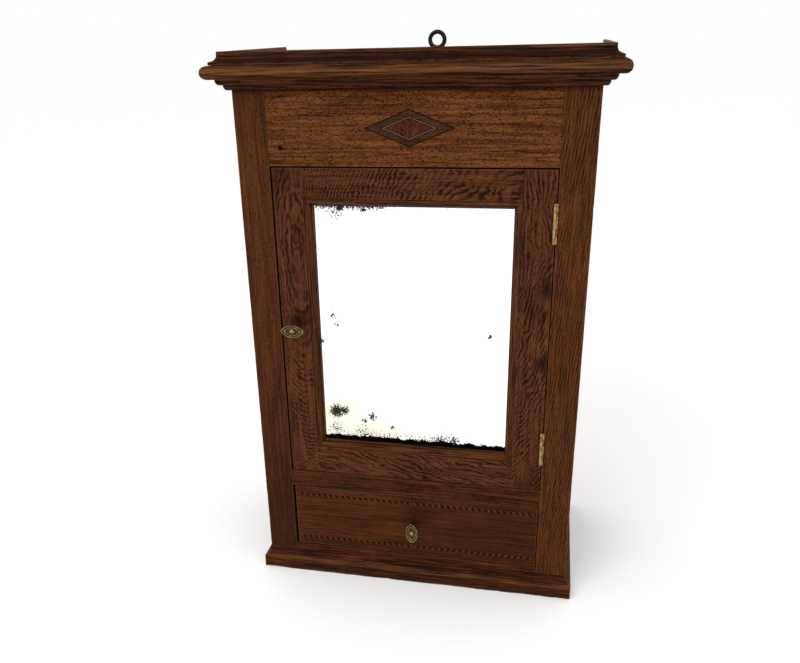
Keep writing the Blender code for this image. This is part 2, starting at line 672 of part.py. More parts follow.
def make_hinge_leaf(name, centre_z, owner, stock):
    """owner is 'frame' or 'door', and stock the wooden piece that the leaf is let into."""
    on_frame = owner == "frame"
    face = OPENING if on_frame else DOOR_RIGHT
    into = 1 if on_frame else -1
    low_z, high_z = centre_z - HINGE_LENGTH / 2, centre_z + HINGE_LENGTH / 2
    near = HINGE_Y + HINGE_BARREL_RADIUS + SLIDE - FIT / 2
    far = near + HINGE_LEAF_WIDTH
    xs = sorted((face, face + into * HINGE_LEAF_THICKNESS))
    leaf = board(name, (xs[0], near, low_z), (xs[1], far, high_z), "brass")
    web_x = (HINGE_X + HINGE_BARREL_RADIUS / 2, xs[1]) if on_frame else xs
    web_y = (HINGE_Y - FIT, HINGE_Y + HINGE_BARREL_RADIUS / 3)
    add(leaf, box_shape((web_x[0], web_y[0], low_z), (web_x[1], web_y[1], high_z)), "web")
    add(leaf, box_shape((xs[0], web_y[0], low_z), (xs[1], near + FIT, high_z)), "web_to_leaf")
    barrel = cylinder_shape(HINGE_BARREL_RADIUS, (HINGE_X, HINGE_Y, low_z), (HINGE_X, HINGE_Y, high_z))
    add(leaf, barrel, "barrel")
    bore_low = (HINGE_X, HINGE_Y, low_z - REACH)
    bore_high = (HINGE_X, HINGE_Y, high_z + REACH)
    cut(leaf, cylinder_shape(HINGE_PIN_RADIUS + FIT, bore_low, bore_high), "bore")
    knuckle = HINGE_LENGTH / HINGE_KNUCKLES
    for index in range(HINGE_KNUCKLES):
        if (index % 2 == 0) == on_frame:
            continue
        clear_low = low_z + index * knuckle - (FIT / 2 if index else REACH)
        last = index == HINGE_KNUCKLES - 1
        clear_high = low_z + (index + 1) * knuckle + (REACH if last else FIT / 2)
        wide = HINGE_BARREL_RADIUS + REACH
        low = (HINGE_X - wide, HINGE_Y - wide, clear_low)
        cut_box(leaf, low, (HINGE_X + wide, near, clear_high), f"knuckle_{index}")
    pocket = sorted((face - into * REACH, face + into * (HINGE_LEAF_THICKNESS + FIT)))
    low = (pocket[0], FRONT - REACH, low_z - FIT)
    cut_box(stock, low, (pocket[1], far + FIT, high_z + FIT), f"{name}_pocket")
    for label, offset in (("a", -SCREW_SPREAD / 2), ("b", SCREW_SPREAD / 2)):
        head = (face, (near + far) / 2, centre_z + offset)
        direction = (into, 0, 0)
        for target in (leaf, stock):
            cut(target, screw_shape(head, direction, grow=FIT / 2), f"{name}_{label}")
        part(screw_shape(head, direction), f"{name}_screw_{label}", "brass")


def make_hinges(frame_stile, door_stile):
    for label, centre_z in HINGE_CENTRES.items():
        make_hinge_leaf(f"{label}_hinge_frame_leaf", centre_z, "frame", frame_stile)
        make_hinge_leaf(f"{label}_hinge_door_leaf", centre_z, "door", door_stile)
        half = HINGE_LENGTH / 2
        clear = HINGE_BARREL_RADIUS + SLIDE
        low = (HINGE_X - clear, FRONT - REACH, centre_z - half - SLIDE)
        high = (DOOR_RIGHT + REACH, HINGE_Y + clear, centre_z + half + SLIDE)
        cut_box(door_stile, low, high, f"{label}_barrel_notch")
        pin_low = (HINGE_X, HINGE_Y, centre_z - half)
        pin = cylinder_shape(HINGE_PIN_RADIUS, pin_low, (HINGE_X, HINGE_Y, centre_z + half), SMALL_STEPS)
        part(pin, f"{label}_hinge_pin", "steel")


# ---------------------------------------------------------------- knobs and latch
def marquise(length, width, steps=6):
    """Outline of two equal arcs that meet in points at the ends of its length."""
    half_l, half_w = length / 2, width / 2
    radius = (half_l**2 + half_w**2) / (2 * half_w)
    reach = math.degrees(math.asin(half_l / radius))
    upper = arc((0, half_w - radius), (radius, radius), 90 - reach, 90 + reach, 2 * steps)
    lower = arc((0, radius - half_w), (radius, radius), 270 - reach, 270 + reach, 2 * steps)
    return upper[:-1] + lower[:-1]


def make_knob(name, centre_x, centre_z, upright, spindle_end):
    """A pointed oval head on a stem and a round foot, with its spindle through the wood behind."""
    head_front = FRONT - KNOB_PROJECTION
    head_back = head_front + KNOB_HEAD_THICKNESS
    if upright:
        place = lambda a, b, c: Vector((centre_x - b, c, centre_z + a))
    else:
        place = lambda a, b, c: Vector((centre_x + a, c, centre_z + b))
    knob = part(prism_shape(marquise(KNOB_LENGTH, KNOB_WIDTH), place, head_front, head_back), name, "brass")
    knob_bevel = knob.modifiers.new("soft rim", "BEVEL")
    knob_bevel.width = KNOB_HEAD_THICKNESS / 4
    knob_bevel.segments = 2
    knob_bevel.limit_method = "ANGLE"
    foot_front = FRONT - FIT - KNOB_FOOT_THICKNESS
    axis = lambda y: (centre_x, y, centre_z)
    stem = cylinder_shape(KNOB_STEM_RADIUS, axis(head_back - FIT), axis(foot_front + FIT), SMALL_STEPS)
    add(knob, stem, "stem")
    add(knob, cylinder_shape(KNOB_FOOT_RADIUS, axis(foot_front), axis(FRONT - FIT)), "foot")
    spindle = cylinder_shape(SPINDLE_RADIUS, axis(FRONT - 2 * FIT), axis(spindle_end), SMALL_STEPS)
    add(knob, spindle, "spindle")
    return knob


def make_door_knob(stile):
    tongue_front = FRAME_BACK + 2 * SLIDE
    tongue_back = tongue_front + TONGUE_THICKNESS
    knob = make_knob("door_knob", KNOB_X, KNOB_Z, False, tongue_back + FIT + RIVET_HEIGHT / 2)
    axis = lambda y: (KNOB_X, y, KNOB_Z)
    rivet_low = axis(tongue_back + FIT)
    rivet_high = axis(tongue_back + FIT + RIVET_HEIGHT)
    add(knob, cylinder_shape(RIVET_RADIUS, rivet_low, rivet_high, SMALL_STEPS), "rivet")
    hole = cylinder_shape(SPINDLE_RADIUS + SLIDE, axis(FRONT - REACH), axis(FRAME_BACK + REACH), SMALL_STEPS)
    cut(stile, hole, "spindle_hole")
    half = TONGUE_WIDTH / 2
    nose = TONGUE_NOSE_WIDTH / 2
    outline = arc((0, nose - TONGUE_LENGTH), (nose, nose), 360, 180)
    outline += arc((0, 0), (half, half), 180, 0, 2 * CURVE_STEPS)
    place = lambda a, b, c: Vector((KNOB_X + a, c, KNOB_Z + b))
    tongue = part(prism_shape(outline, place, tongue_front, tongue_back), "latch_tongue", "brass")
    hole = cylinder_shape(SPINDLE_RADIUS + FIT, axis(FRAME_BACK), axis(tongue_back + REACH))
    cut(tongue, hole, "spindle_hole")


# ---------------------------------------------------------------- drawer
def tail_outlines():
    """Dovetail outlines in (y, z), wider at the front than at the root."""
    low, high = DRAWER_BOTTOM, DRAWER_TOP - DRAWER_SIDE_DROP
    pitch = (high - low) / TAIL_COUNT
    root = DRAWER_FRONT_BACK + FIT
    tip = DRAWER_FRONT_BACK - TAIL_LENGTH
    for index in range(TAIL_COUNT):
        middle = low + (index + 0.5) * pitch
        wide, narrow = pitch * 0.36, pitch * 0.26
        yield [(root + REACH, middle - narrow), (root + REACH, middle + narrow)], [
            (root, middle + narrow),
            (tip, middle + wide),
            (tip, middle - wide),
            (root, middle - narrow),
        ]


def make_drawer():
    front = board(
        "drawer_front",
        (DRAWER_LEFT, FRONT, DRAWER_BOTTOM),
        (DRAWER_RIGHT, DRAWER_FRONT_BACK, DRAWER_TOP),
    )
    side_top = DRAWER_TOP - DRAWER_SIDE_DROP
    side_bottom = DRAWER_OPENING_BOTTOM + SLIDE
    panel_low = side_bottom + DRAWER_BOTTOM_RISE
    panel_high = panel_low + DRAWER_BOTTOM_THICKNESS
    inner = {-1: DRAWER_LEFT + DRAWER_SIDE_THICKNESS, 1: DRAWER_RIGHT - DRAWER_SIDE_THICKNESS}
    outer = {-1: DRAWER_LEFT, 1: DRAWER_RIGHT}
    for label, side in (("left", -1), ("right", 1)):
        xs = sorted((outer[side], inner[side]))
        low = (xs[0], DRAWER_FRONT_BACK + FIT, side_bottom)
        piece = board(f"drawer_side_{label}", low, (xs[1], DRAWER_BACK, side_top), "pale_wood")
        for index, (stem, head) in enumerate(tail_outlines()):
            across = lambda a, b, c: Vector((c, a, b))
            add(piece, prism_shape([*stem, *head], across, xs[0], xs[1]), f"tail_{index}")
            socket_x = sorted((outer[side] + side * REACH, inner[side] - side * FIT))
            grown = [
                (DRAWER_FRONT_BACK + REACH, head[0][1] + FIT),
                (head[1][0] - FIT, head[1][1] + FIT),
                (head[2][0] - FIT, head[2][1] - FIT),
                (DRAWER_FRONT_BACK + REACH, head[3][1] - FIT),
            ]
            cut(front, prism_shape(grown, across, *socket_x), f"socket_{label}_{index}")
        groove_x = sorted((inner[side] - side * REACH, inner[side] + side * GROOVE_DEPTH))
        low = (groove_x[0], FRONT, panel_low - FIT)
        cut_box(piece, low, (groove_x[1], BACK, panel_high + FIT), "bottom_groove")
    groove_y = DRAWER_FRONT_BACK - GROOVE_DEPTH
    low = (inner[-1] - GROOVE_DEPTH, groove_y, panel_low - FIT)
    cut_box(front, low, (inner[1] + GROOVE_DEPTH, BACK, panel_high + FIT), "bottom_groove")
    reach = GROOVE_DEPTH - FIT
    low = (inner[-1] - reach, groove_y + FIT, panel_low)
    board("drawer_bottom", low, (inner[1] + reach, DRAWER_BACK, panel_high), "pale_wood")
    low = (inner[-1] + FIT, DRAWER_BACK - DRAWER_SIDE_THICKNESS, panel_high + FIT)
    board("drawer_back", low, (inner[1] - FIT, DRAWER_BACK, side_top - FIT), "pale_wood")
    return front


def make_rope_inlays(front):
    """Two strips of stringing let into the drawer's face."""
    for label, low_z in (
        ("top", DRAWER_TOP - ROPE_INSET - ROPE_HEIGHT),
        ("bottom", DRAWER_BOTTOM + ROPE_INSET),
    ):
        low = (DRAWER_LEFT + ROPE_END, FRONT, low_z)
        high = (DRAWER_RIGHT - ROPE_END, FRONT + INLAY_THICKNESS, low_z + ROPE_HEIGHT)
        board(f"drawer_inlay_{label}", low, high, "rope_inlay")
        low = (low[0] - FIT, FRONT - REACH, low[2] - FIT)
        high = (high[0] + FIT, high[1] + FIT, high[2] + FIT)
        cut_box(front, low, high, f"inlay_{label}")


def make_drawer_knob(front):
    nut_front = DRAWER_FRONT_BACK + FIT
    nut_back = nut_front + NUT_THICKNESS
    x = DRAWER_KNOB_OFFSET + (DRAWER_LEFT + DRAWER_RIGHT) / 2
    make_knob("drawer_knob", x, DRAWER_MIDDLE, True, nut_back + FIT)
    axis = lambda y: (x, y, DRAWER_MIDDLE)
    hole_back = axis(DRAWER_FRONT_BACK + REACH)
    cut(front, cylinder_shape(SPINDLE_RADIUS + FIT, axis(FRONT - REACH), hole_back, SMALL_STEPS), "knob_hole")
    half = NUT_SIDE / 2
    low = (x - half, nut_front, DRAWER_MIDDLE - half)
    nut = board("drawer_knob_nut", low, (x + half, nut_back, DRAWER_MIDDLE + half), "steel")
    cut(nut, cylinder_shape(SPINDLE_RADIUS + FIT, axis(FRONT), axis(nut_back + REACH), SMALL_STEPS), "thread")


# ---------------------------------------------------------------- moving groups
def hang(name, place, prefixes, parent=None):
    """Parents the pieces whose names start with a prefix to an empty on their joint's axis."""
    pivot = bpy.data.objects.new(name, None)
    PARTS.objects.link(pivot)
    pivot.location = place
    if parent:
        pivot.parent = parent
        pivot.location = Vector(place) - parent.location
    for obj in PARTS.objects:
        if obj.type == "MESH" and obj.name.startswith(prefixes):
            obj.parent = pivot
            obj.matrix_parent_inverse = Matrix.Translation(-Vector(place))
    return pivot


def hang_moving_groups():
    door_names = ("door_stile", "door_rail", "door_bead", "mirror", "upper_hinge_door", "lower_hinge_door")
    door = hang("door_pivot", (HINGE_X, HINGE_Y, DOOR_BOTTOM), door_names)
    hang("latch_pivot", (KNOB_X, FRONT, KNOB_Z), ("door_knob", "latch_tongue"), door)
    drawer_names = ("drawer_front", "drawer_side", "drawer_back", "drawer_bottom")
    drawer_names += ("drawer_inlay", "drawer_knob")
    hang("drawer_pivot", (0, FRONT, DRAWER_MIDDLE), drawer_names)


# ---------------------------------------------------------------- the cabinet
clear_scene()
PARTS = new_collection("mirror_cabinet")
CUTTERS = new_collection("cutters")
MATERIALS = make_finishes()

side_panels = make_side_panels()
make_back_boards()
front_stiles, front_rails = make_front_frame()
make_inside(side_panels)
make_door_stop()
make_drawer_runners()
make_base_board()
make_top_board()
make_cornice()
make_screw_eye()
make_frieze_inlay(front_rails["frieze_board"])

door_stiles = make_door_frame()
make_mirror()
make_beads()
make_hinges(front_stiles[1], door_stiles[1])
make_door_knob(door_stiles[-1])

drawer_front = make_drawer()
make_rope_inlays(drawer_front)
make_drawer_knob(drawer_front)

hang_moving_groups()
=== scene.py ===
"""Looks of the mirror cabinet: old stained oak, aged brass, blackened iron and spotted silvered glass."""

import json
import math
from functools import partial

import bpy
from mathutils import Matrix, Vector, noise


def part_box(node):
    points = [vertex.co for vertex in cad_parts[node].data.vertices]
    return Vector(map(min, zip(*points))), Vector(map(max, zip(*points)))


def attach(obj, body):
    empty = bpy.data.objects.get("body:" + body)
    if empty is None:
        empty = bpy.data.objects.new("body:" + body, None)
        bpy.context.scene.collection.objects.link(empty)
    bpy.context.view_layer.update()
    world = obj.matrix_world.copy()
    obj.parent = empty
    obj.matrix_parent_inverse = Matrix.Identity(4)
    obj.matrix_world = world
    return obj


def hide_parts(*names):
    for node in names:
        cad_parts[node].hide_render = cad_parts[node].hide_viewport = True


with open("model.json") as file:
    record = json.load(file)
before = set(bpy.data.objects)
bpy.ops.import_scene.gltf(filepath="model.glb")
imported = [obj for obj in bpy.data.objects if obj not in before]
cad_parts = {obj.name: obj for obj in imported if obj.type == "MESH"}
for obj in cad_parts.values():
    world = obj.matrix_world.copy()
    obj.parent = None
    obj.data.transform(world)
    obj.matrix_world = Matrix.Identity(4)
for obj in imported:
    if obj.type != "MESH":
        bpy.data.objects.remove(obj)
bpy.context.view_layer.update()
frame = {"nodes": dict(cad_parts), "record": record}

# ---------------------------------------------------------------- sizes, in metres
MM = 0.001
MERGE = 0.00001
FLAT = math.radians(0.5)
SMOOTH = math.radians(38)

BOARD_ARRIS = 0.6 * MM  # radius of a board's hand-eased corner
MOULDING_ARRIS = 0.3 * MM
WEAR_STEP = 7 * MM  # spacing of the cuts that let an arris wander
WAVES_PER_METRE = 38  # slow wander of a worn arris
NICKS_PER_METRE = 150
GAP_FACE_REACH = 1.5 * MM  # faces this near a board's side belong to that side

BASE_ARRIS = 16.5 * MM  # height of the arris between the base's fascia and its slope
# painted shadow in the corner under the moulding: height, spread and strength
SHADOW_UNDER_MOULDING = ((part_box("bed_moulding_front")[0].z, 6 * MM, 0.8),)

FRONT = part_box("stile_left")[0].y

DASH_PITCH = 8.0 * MM
DASH_LENGTH = 4.5 * MM
DASH_SLANT = 2.3 * MM
DASH_GAP = 0.05 * MM

BORDER_LINE = 0.7 * MM  # rings of the diamond inlay, from its edge inwards
FIELD_WIDTH = 5.5 * MM
DARK_LINE = 0.9 * MM
LIGHT_LINE = 0.65 * MM

NAIL_HOLE_RADIUS = 3.1 * MM
NAIL_HOLE_DEPTH = 4 * MM
NAIL_HOLE_FROM_POST = 15.2 * MM
NAIL_HOLE_FROM_BELOW = 20 * MM
NAIL_HOLE_DARK = 6 * MM  # faces inside the board and this near the hole's middle are its walls

BEAD_RADIUS = 0.75 * MM
BEAD_COUNT = 40
BEAD_HEIGHT = 2.75 * MM  # of the beads' middles over the back of the plate
KNOB_SEGMENTS = 64
LEAF_ROUNDNESS = 0.45  # 0 is two arcs that meet in points, 1 is an oval
PLATE_HOLLOW = 2.7 * MM  # the plate is dark below this height

FLOOR_SIZE = 30
FLOOR_DROP = 0.5 * MM  # the floor is this far below the base
LOOK_AT = (0, 0, 0.35)
CAMERA_LENS = 36.25  # mm
CAMERA_SHIFT = (0.0312, 0.0471)
CAMERA_PLACE = (0.1565, FRONT - 0.8912, 0.6868)
CAMERA_PAN, CAMERA_TILT, CAMERA_ROLL = 12.732, -22.644, -1.563  # degrees

# how many times each fine pattern repeats in a metre
EDGE_MOTTLE = 260.0  # 4 mm
BRASS_BLOTCHES = 240.0  # 4 mm
BRASS_GRAIN = 1400.0  # 0.7 mm
IRON_SKIN = 420.0  # 2.4 mm
STEEL_MARKS = 600.0  # 1.7 mm
STRING_FIBRES = 500.0  # 2 mm
SILVER_SPECKS = 420.0  # 2.4 mm
SILVER_HAZE = 22.0  # 45 mm
SILL_RAGGEDNESS = 120.0  # 8 mm
LOST_SILVER_GRAIN = 900.0  # 1.1 mm


# ---------------------------------------------------------------- colour and nodes
def hex_colour(code):
    """An sRGB hex value as linear RGBA."""
    channels = [int(code[i : i + 2], 16) / 255 for i in (1, 3, 5)]
    linear = [c / 12.92 if c <= 0.04045 else ((c + 0.055) / 1.055) ** 2.4 for c in channels]
    return (*linear, 1.0)


def add_node(tree, kind, inputs=None, **settings):
    """Adds a node. inputs maps a socket's name or number to a value or to another node's output."""
    made = tree.nodes.new(f"ShaderNode{kind}")
    for key, value in settings.items():
        setattr(made, key, value)
    for key, value in (inputs or {}).items():
        if isinstance(value, bpy.types.NodeSocket):
            tree.links.new(value, made.inputs[key])
        else:
            made.inputs[key].default_value = value
    return made


def new_material(name):
    """An empty material, its node adder and its Principled shader."""
    material = bpy.data.materials.new(name)
    material.use_nodes = True
    tree = material.node_tree
    return material, partial(add_node, tree), tree.nodes["Principled BSDF"]


def link(material, socket, shader_input):
    material.node_tree.links.new(socket, shader_input)


# ---------------------------------------------------------------- woods
def arris_distance(n, local, half):
    """Distance from the nearest edge of a box: the middle one of the distances from its three faces."""
    inner = n("VectorMath", {0: local}, operation="ABSOLUTE").outputs[0]
    inner = n("VectorMath", {0: half, 1: inner}, operation="SUBTRACT").outputs[0]
    x, y, z = n("SeparateXYZ", {0: inner}).outputs
    low = n("Math", {0: x, 1: y}, operation="MINIMUM").outputs[0]
    high = n("Math", {0: x, 1: y}, operation="MAXIMUM").outputs[0]
    high = n("Math", {0: high, 1: z}, operation="MINIMUM").outputs[0]
    return n("Math", {0: low, 1: high}, operation="MAXIMUM").outputs[0]


# how many times the wood's variations repeat in a metre: across, into the board, along the grain
FADED_PATCHES = (60, 60, 22)  # 17 x 45 mm
FIBRES = (430, 430, 14)  # 2 x 70 mm: real fibres are finer, and are drawn coarser so that they show
STAIN_CLOUDS = (26, 26, 9)  # 40 x 110 mm
CHAFES_PER_METRE = 130.0

ARRIS_RUBBED = 3.4 * MM  # the furthest that rubbing reaches in from an arris
ARRIS_FADE = 2.6 * MM
PORE_DEPTH = 0.25 * MM
WAXED, DULL = 0.40, 0.52  # roughness
OIL_VARNISH_IOR = 1.48


def turned_to_grain(n, local, along):
    """The place in the board, turned so that X is across the face, Y into the board and Z along the grain."""
    axes = n("SeparateXYZ", {0: local}).outputs
    across, depth, length = {"z": "XYZ", "x": "ZYX", "y": "XZY"}[along]
    return n("CombineXYZ", {0: axes[across], 1: axes[depth], 2: axes[length]}).outputs[0]


def ring_lines(n, board, own, cut):
    """How dark the ring lines are. A ring number counts how far into the log each point lies."""
    depth = n("VectorMath", {0: board, 1: cut["lean"]}, operation="DOT_PRODUCT").outputs["Value"]
    parts = n("SeparateXYZ", {0: board}).outputs
    twisted = n("Math", {0: parts[0], 1: parts[2]}, operation="MULTIPLY").outputs[0]
    depth = n("Math", {0: twisted, 1: cut["twist"], 2: depth}, operation="MULTIPLY_ADD").outputs[0]
    arch = n("Math", {0: parts[2], 1: cut["arch_at"]}, operation="SUBTRACT").outputs[0]
    arch = n("Math", {0: arch, 1: arch}, operation="MULTIPLY").outputs[0]
    depth = n("Math", {0: arch, 1: cut["arch"], 2: depth}, operation="MULTIPLY_ADD").outputs[0]
    cup = n("Math", {0: parts[0], 1: parts[0]}, operation="MULTIPLY").outputs[0]
    depth = n("Math", {0: cup, 1: cut["cup"], 2: depth}, operation="MULTIPLY_ADD").outputs[0]
    # the slow bends and the sharp dips of the grain
    for size_across, size_along, amount in (cut["sway"], cut["dips"]):
        scale = (1 / size_across, 1 / size_across, 1 / size_along)
        stretched = n("VectorMath", {0: own, 1: scale}, operation="MULTIPLY").outputs[0]
        bend = n("TexNoise", {"Vector": stretched, "Scale": 1.0, "Detail": 1.5, "Roughness": 0.5}).outputs[0]
        depth = n("Math", {0: bend, 1: amount, 2: depth}, operation="MULTIPLY_ADD").outputs[0]
    rings = n("Math", {0: depth, 1: 1 / cut["ring"]}, operation="MULTIPLY").outputs[0]
    phase = n("Math", {0: rings}, operation="FRACT").outputs[0]
    # a ring starts dark, fades by its middle and darkens quickly into the next
    fall = n("MapRange", {0: phase, 1: 0.05, 2: 0.6, 3: 1.0, 4: 0.0}, interpolation_type="SMOOTHSTEP")
    rise = n("MapRange", {0: phase, 1: 0.82, 2: 1.0, 3: 0.0, 4: 1.0}, interpolation_type="SMOOTHSTEP")
    early = n("Math", {0: fall.outputs[0], 1: rise.outputs[0]}, operation="MAXIMUM").outputs[0]
    patches = n("VectorMath", {0: own, 1: FADED_PATCHES}, operation="MULTIPLY").outputs[0]
    patch = n("TexNoise", {"Vector": patches, "Scale": 1.0, "Detail": 3.0, "Roughness": 0.7}).outputs[0]
    faded = n("MapRange", {0: patch, 1: 0.38, 2: 0.60, 3: 0.1, 4: 1.0}).outputs[0]
    return n("Math", {0: early, 1: faded}, operation="MULTIPLY").outputs[0]


def open_pores(n, own, line, cut):
    """Pores along the grain, wider on the ring lines.

    Real ones are 0.3 mm wide. These are about 1 mm, so that they show.
    """
    wide, long = cut["pore_size"]
    closed, opened = cut["open_pores"]
    space = n("VectorMath", {0: own, 1: (1 / wide, 1 / wide, 1 / long)}, operation="MULTIPLY").outputs[0]
    fray = n("TexNoise", {"Vector": space, "Scale": 1.7, "Detail": 1.0}).outputs["Color"]
    space = n("VectorMath", {0: fray, 1: (cut["fray"],) * 3, 2: space}, operation="MULTIPLY_ADD").outputs[0]
    cell = n("TexVoronoi", {"Vector": space, "Scale": 1.0}).outputs["Distance"]
    width = n("MapRange", {0: line, 1: 0.0, 2: 1.0, 3: closed, 4: opened}).outputs[0]
    inside = n("Math", {0: width, 1: cell}, operation="SUBTRACT").outputs[0]
    return n("MapRange", {0: inside, 1: 0.0, 2: 0.14, 3: 0.0, 4: 1.0}).outputs[0]


def band(n, height, level, spread, strength):
    """Full strength at a level above the floor, fading to nothing by spread above it and below it."""
    away = n("Math", {0: height, 1: level}, operation="SUBTRACT").outputs[0]
    away = n("Math", {0: away}, operation="ABSOLUTE").outputs[0]
    return n("MapRange", {0: away, 1: 0.0, 2: spread, 3: strength, 4: 0.0}).outputs[0]


def wear_and_painted_light(n, colour, position, fibre, cloud, hole, rubbed, cut):
    """Dark patches, painted shade in the hollows and under the moulding, rubbed members, and dust with painted
    light and shade by which way a face looks.
    """
    for spot, width, strength in cut["darkened"]:
        # darker patches, some of them knots; at the foot of the left post this is painted shade, and above the
        # knobs painted shadow
        away = n("VectorMath", {0: position, 1: spot}, operation="DISTANCE").outputs["Value"]
        dark_patch = n("MapRange", {0: away, 1: width * 0.35, 2: width, 3: strength, 4: 0.0}).outputs[0]
        dark_patch = n("Math", {0: dark_patch, 1: cloud}, operation="MULTIPLY").outputs[0]
        colour = n("Mix", {0: dark_patch, 6: colour, 7: hole}, data_type="RGBA").outputs[2]
    height = n("SeparateXYZ", {0: position}).outputs[2]
    for level, spread, strength in cut["grimy"]:
        # painted shade: darker bands in the hollows and in the corner under the moulding
        painted_shade = band(n, height, level, spread, strength)
        colour = n("Mix", {0: painted_shade, 6: colour, 7: hole}, data_type="RGBA").outputs[2]
    for level, spread, strength in cut["rubbed"]:
        # the members that stand out are rubbed lighter, in streaks
        bare = band(n, height, level, spread, strength)
        patchy = n("MapRange", {0: fibre, 1: 0.62, 2: 0.4, 3: 0.15, 4: 1.0}).outputs[0]
        bare = n("Math", {0: bare, 1: patchy}, operation="MULTIPLY").outputs[0]
        colour = n("Mix", {0: bare, 6: colour, 7: rubbed}, data_type="RGBA").outputs[2]
    if cut["dusty"]:
        # dust and painted light: faces that look up are painted paler, and faces that look down are painted
        # darker, as in shade
        up = n("SeparateXYZ", {0: n("NewGeometry").outputs["Normal"]}).outputs[2]
        low, high = 1 - cut["dusty"], 1 + cut["dusty"]
        pale = n("MapRange", {0: up, 1: -1.0, 2: 1.0, 3: low, 4: high}).outputs[0]
        colour = n("VectorMath", {0: colour, 3: pale}, operation="SCALE").outputs[0]
    return colour


def rubbed_arris(n, position, local, half, cut):
    """How far the stain is rubbed off near the long edges, with a ragged inner border."""
    edge = arris_distance(n, local, half)
    chafe = n("TexNoise", {"Vector": position, "Scale": CHAFES_PER_METRE, "Detail": 4.0, "Roughness": 0.7})
    border = n("MapRange", {0: chafe.outputs[0], 1: 0.35, 2: 0.72, 3: 0.0, 4: ARRIS_RUBBED}).outputs[0]
    near = n("Math", {0: edge, 1: border}, operation="LESS_THAN").outputs[0]
    soft = n("MapRange", {0: edge, 1: 0.0, 2: ARRIS_FADE, 3: 1.0, 4: 0.0}).outputs[0]
    worn = n("Math", {0: near, 1: soft}, operation="MULTIPLY").outputs[0]
    return n("Math", {0: worn, 1: cut["wear"]}, operation="MULTIPLY").outputs[0]


def oak(name, node, tones, cut, seed):
    """Oak, stained and waxed: ring lines, open pores along the grain, slow stain clouds and rubbed arrises.

    tones are the light wood, the dark ring line, the pore and the rubbed edge; the pore tone is also that of
    the painted shade. cut says how the board was sawn from its log, how it has aged, and where light and shade
    are painted.
    """
    material, n, shader = new_material(name)
    low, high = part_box(node)
    centre, half = (low + high) / 2, (high - low) / 2
    position = n("TexCoord").outputs["Object"]
    local = n("VectorMath", {0: position, 1: centre}, operation="SUBTRACT").outputs[0]
    board = turned_to_grain(n, local, cut["along"])
    own = n("VectorMath", {0: board, 1: (0.37 * seed, 0.11 * seed, 0.53 * seed)}, operation="ADD").outputs[0]

    line = ring_lines(n, board, own, cut)
    pore = open_pores(n, own, line, cut)
    fibres = n("VectorMath", {0: own, 1: FIBRES}, operation="MULTIPLY").outputs[0]
    fibre = n("TexNoise", {"Vector": fibres, "Scale": 1.0, "Detail": 3.0, "Roughness": 0.75}).outputs[0]
    clouds = n("VectorMath", {0: own, 1: STAIN_CLOUDS}, operation="MULTIPLY").outputs[0]
    cloud = n("TexNoise", {"Vector": clouds, "Scale": 1.0, "Detail": 4.0, "Roughness": 0.65}).outputs[0]

    light, dark, hole, rubbed = (hex_colour(tone) for tone in tones)
    line = n("Math", {0: line, 1: cut["lines"]}, operation="MULTIPLY").outputs[0]
    streak = n("MapRange", {0: fibre, 1: 0.40, 2: 0.60, 3: 0.0, 4: cut["streaks"]}).outputs[0]
    shade = n("Math", {0: line, 1: streak}, operation="ADD", use_clamp=True).outputs[0]
    colour = n("Mix", {0: shade, 6: light, 7: dark}, data_type="RGBA").outputs[2]
    pored = n("Math", {0: pore, 1: cut["pores"]}, operation="MULTIPLY").outputs[0]
    colour = n("Mix", {0: pored, 6: colour, 7: hole}, data_type="RGBA").outputs[2]
    thin, thick = 1 - cut["clouds"], 1 + cut["clouds"]
    stain = n("MapRange", {0: cloud, 1: 0.3, 2: 0.7, 3: thin, 4: thick}).outputs[0]
    colour = n("VectorMath", {0: colour, 3: stain}, operation="SCALE").outputs[0]
    colour = wear_and_painted_light(n, colour, position, fibre, cloud, hole, rubbed, cut)
    worn = rubbed_arris(n, position, local, half, cut)
    colour = n("Mix", {0: worn, 6: colour, 7: rubbed}, data_type="RGBA").outputs[2]
    link(material, colour, shader.inputs["Base Color"])

    gloss = n("MapRange", {0: cloud, 1: 0.3, 2: 0.7, 3: WAXED, 4: DULL}).outputs[0]
    gloss = n("Math", {0: pored, 1: 0.25, 2: gloss}, operation="MULTIPLY_ADD").outputs[0]
    link(material, gloss, shader.inputs["Roughness"])
    height = n("Math", {0: fibre, 1: 0.25}, operation="MULTIPLY").outputs[0]
    height = n("Math", {0: pored, 1: -1.0, 2: height}, operation="MULTIPLY_ADD").outputs[0]
    relief = n("Bump", {"Height": height, "Strength": 0.6, "Distance": PORE_DEPTH}).outputs[0]
    link(material, relief, shader.inputs["Normal"])
    shader.inputs["IOR"].default_value = OIL_VARNISH_IOR
    shader.inputs["Specular IOR Level"].default_value = 0.05  # old wax, almost without shine
    return material


def straight(along, **changes):
    """Sawn so that the rings run straight down the board.

    lean, twist, arch and cup set how the ring number changes over the board; sway and dips are each a size
    across, a size along and an amount. lines, streaks, pores, clouds, wear and dusty are strengths. darkened
    holds places, widths and strengths; grimy and rubbed hold heights, spreads and strengths.
    """
    base = {
        "along": along,
        "lean": (1.0, 0.25, 0.015),
        "twist": 0.0,
        "arch": 0.0,
        "arch_at": 0.0,
        "cup": 0.0,
        "ring": 3.2 * MM,
        "sway": (50 * MM, 200 * MM, 7 * MM),
        "dips": (9 * MM, 45 * MM, 1.2 * MM),
        "lines": 0.5,
        "streaks": 0.6,
        "pores": 0.6,
        "pore_size": (2.0 * MM, 6 * MM),
        "open_pores": (0.32, 0.50),
        "fray": 0.5,
        "clouds": 0.18,
        "wear": 0.35,
        "darkened": (),
        "rubbed": (),
        "grimy": (),
        "dusty": 0.0,
    }
    base.update(changes)
    return base


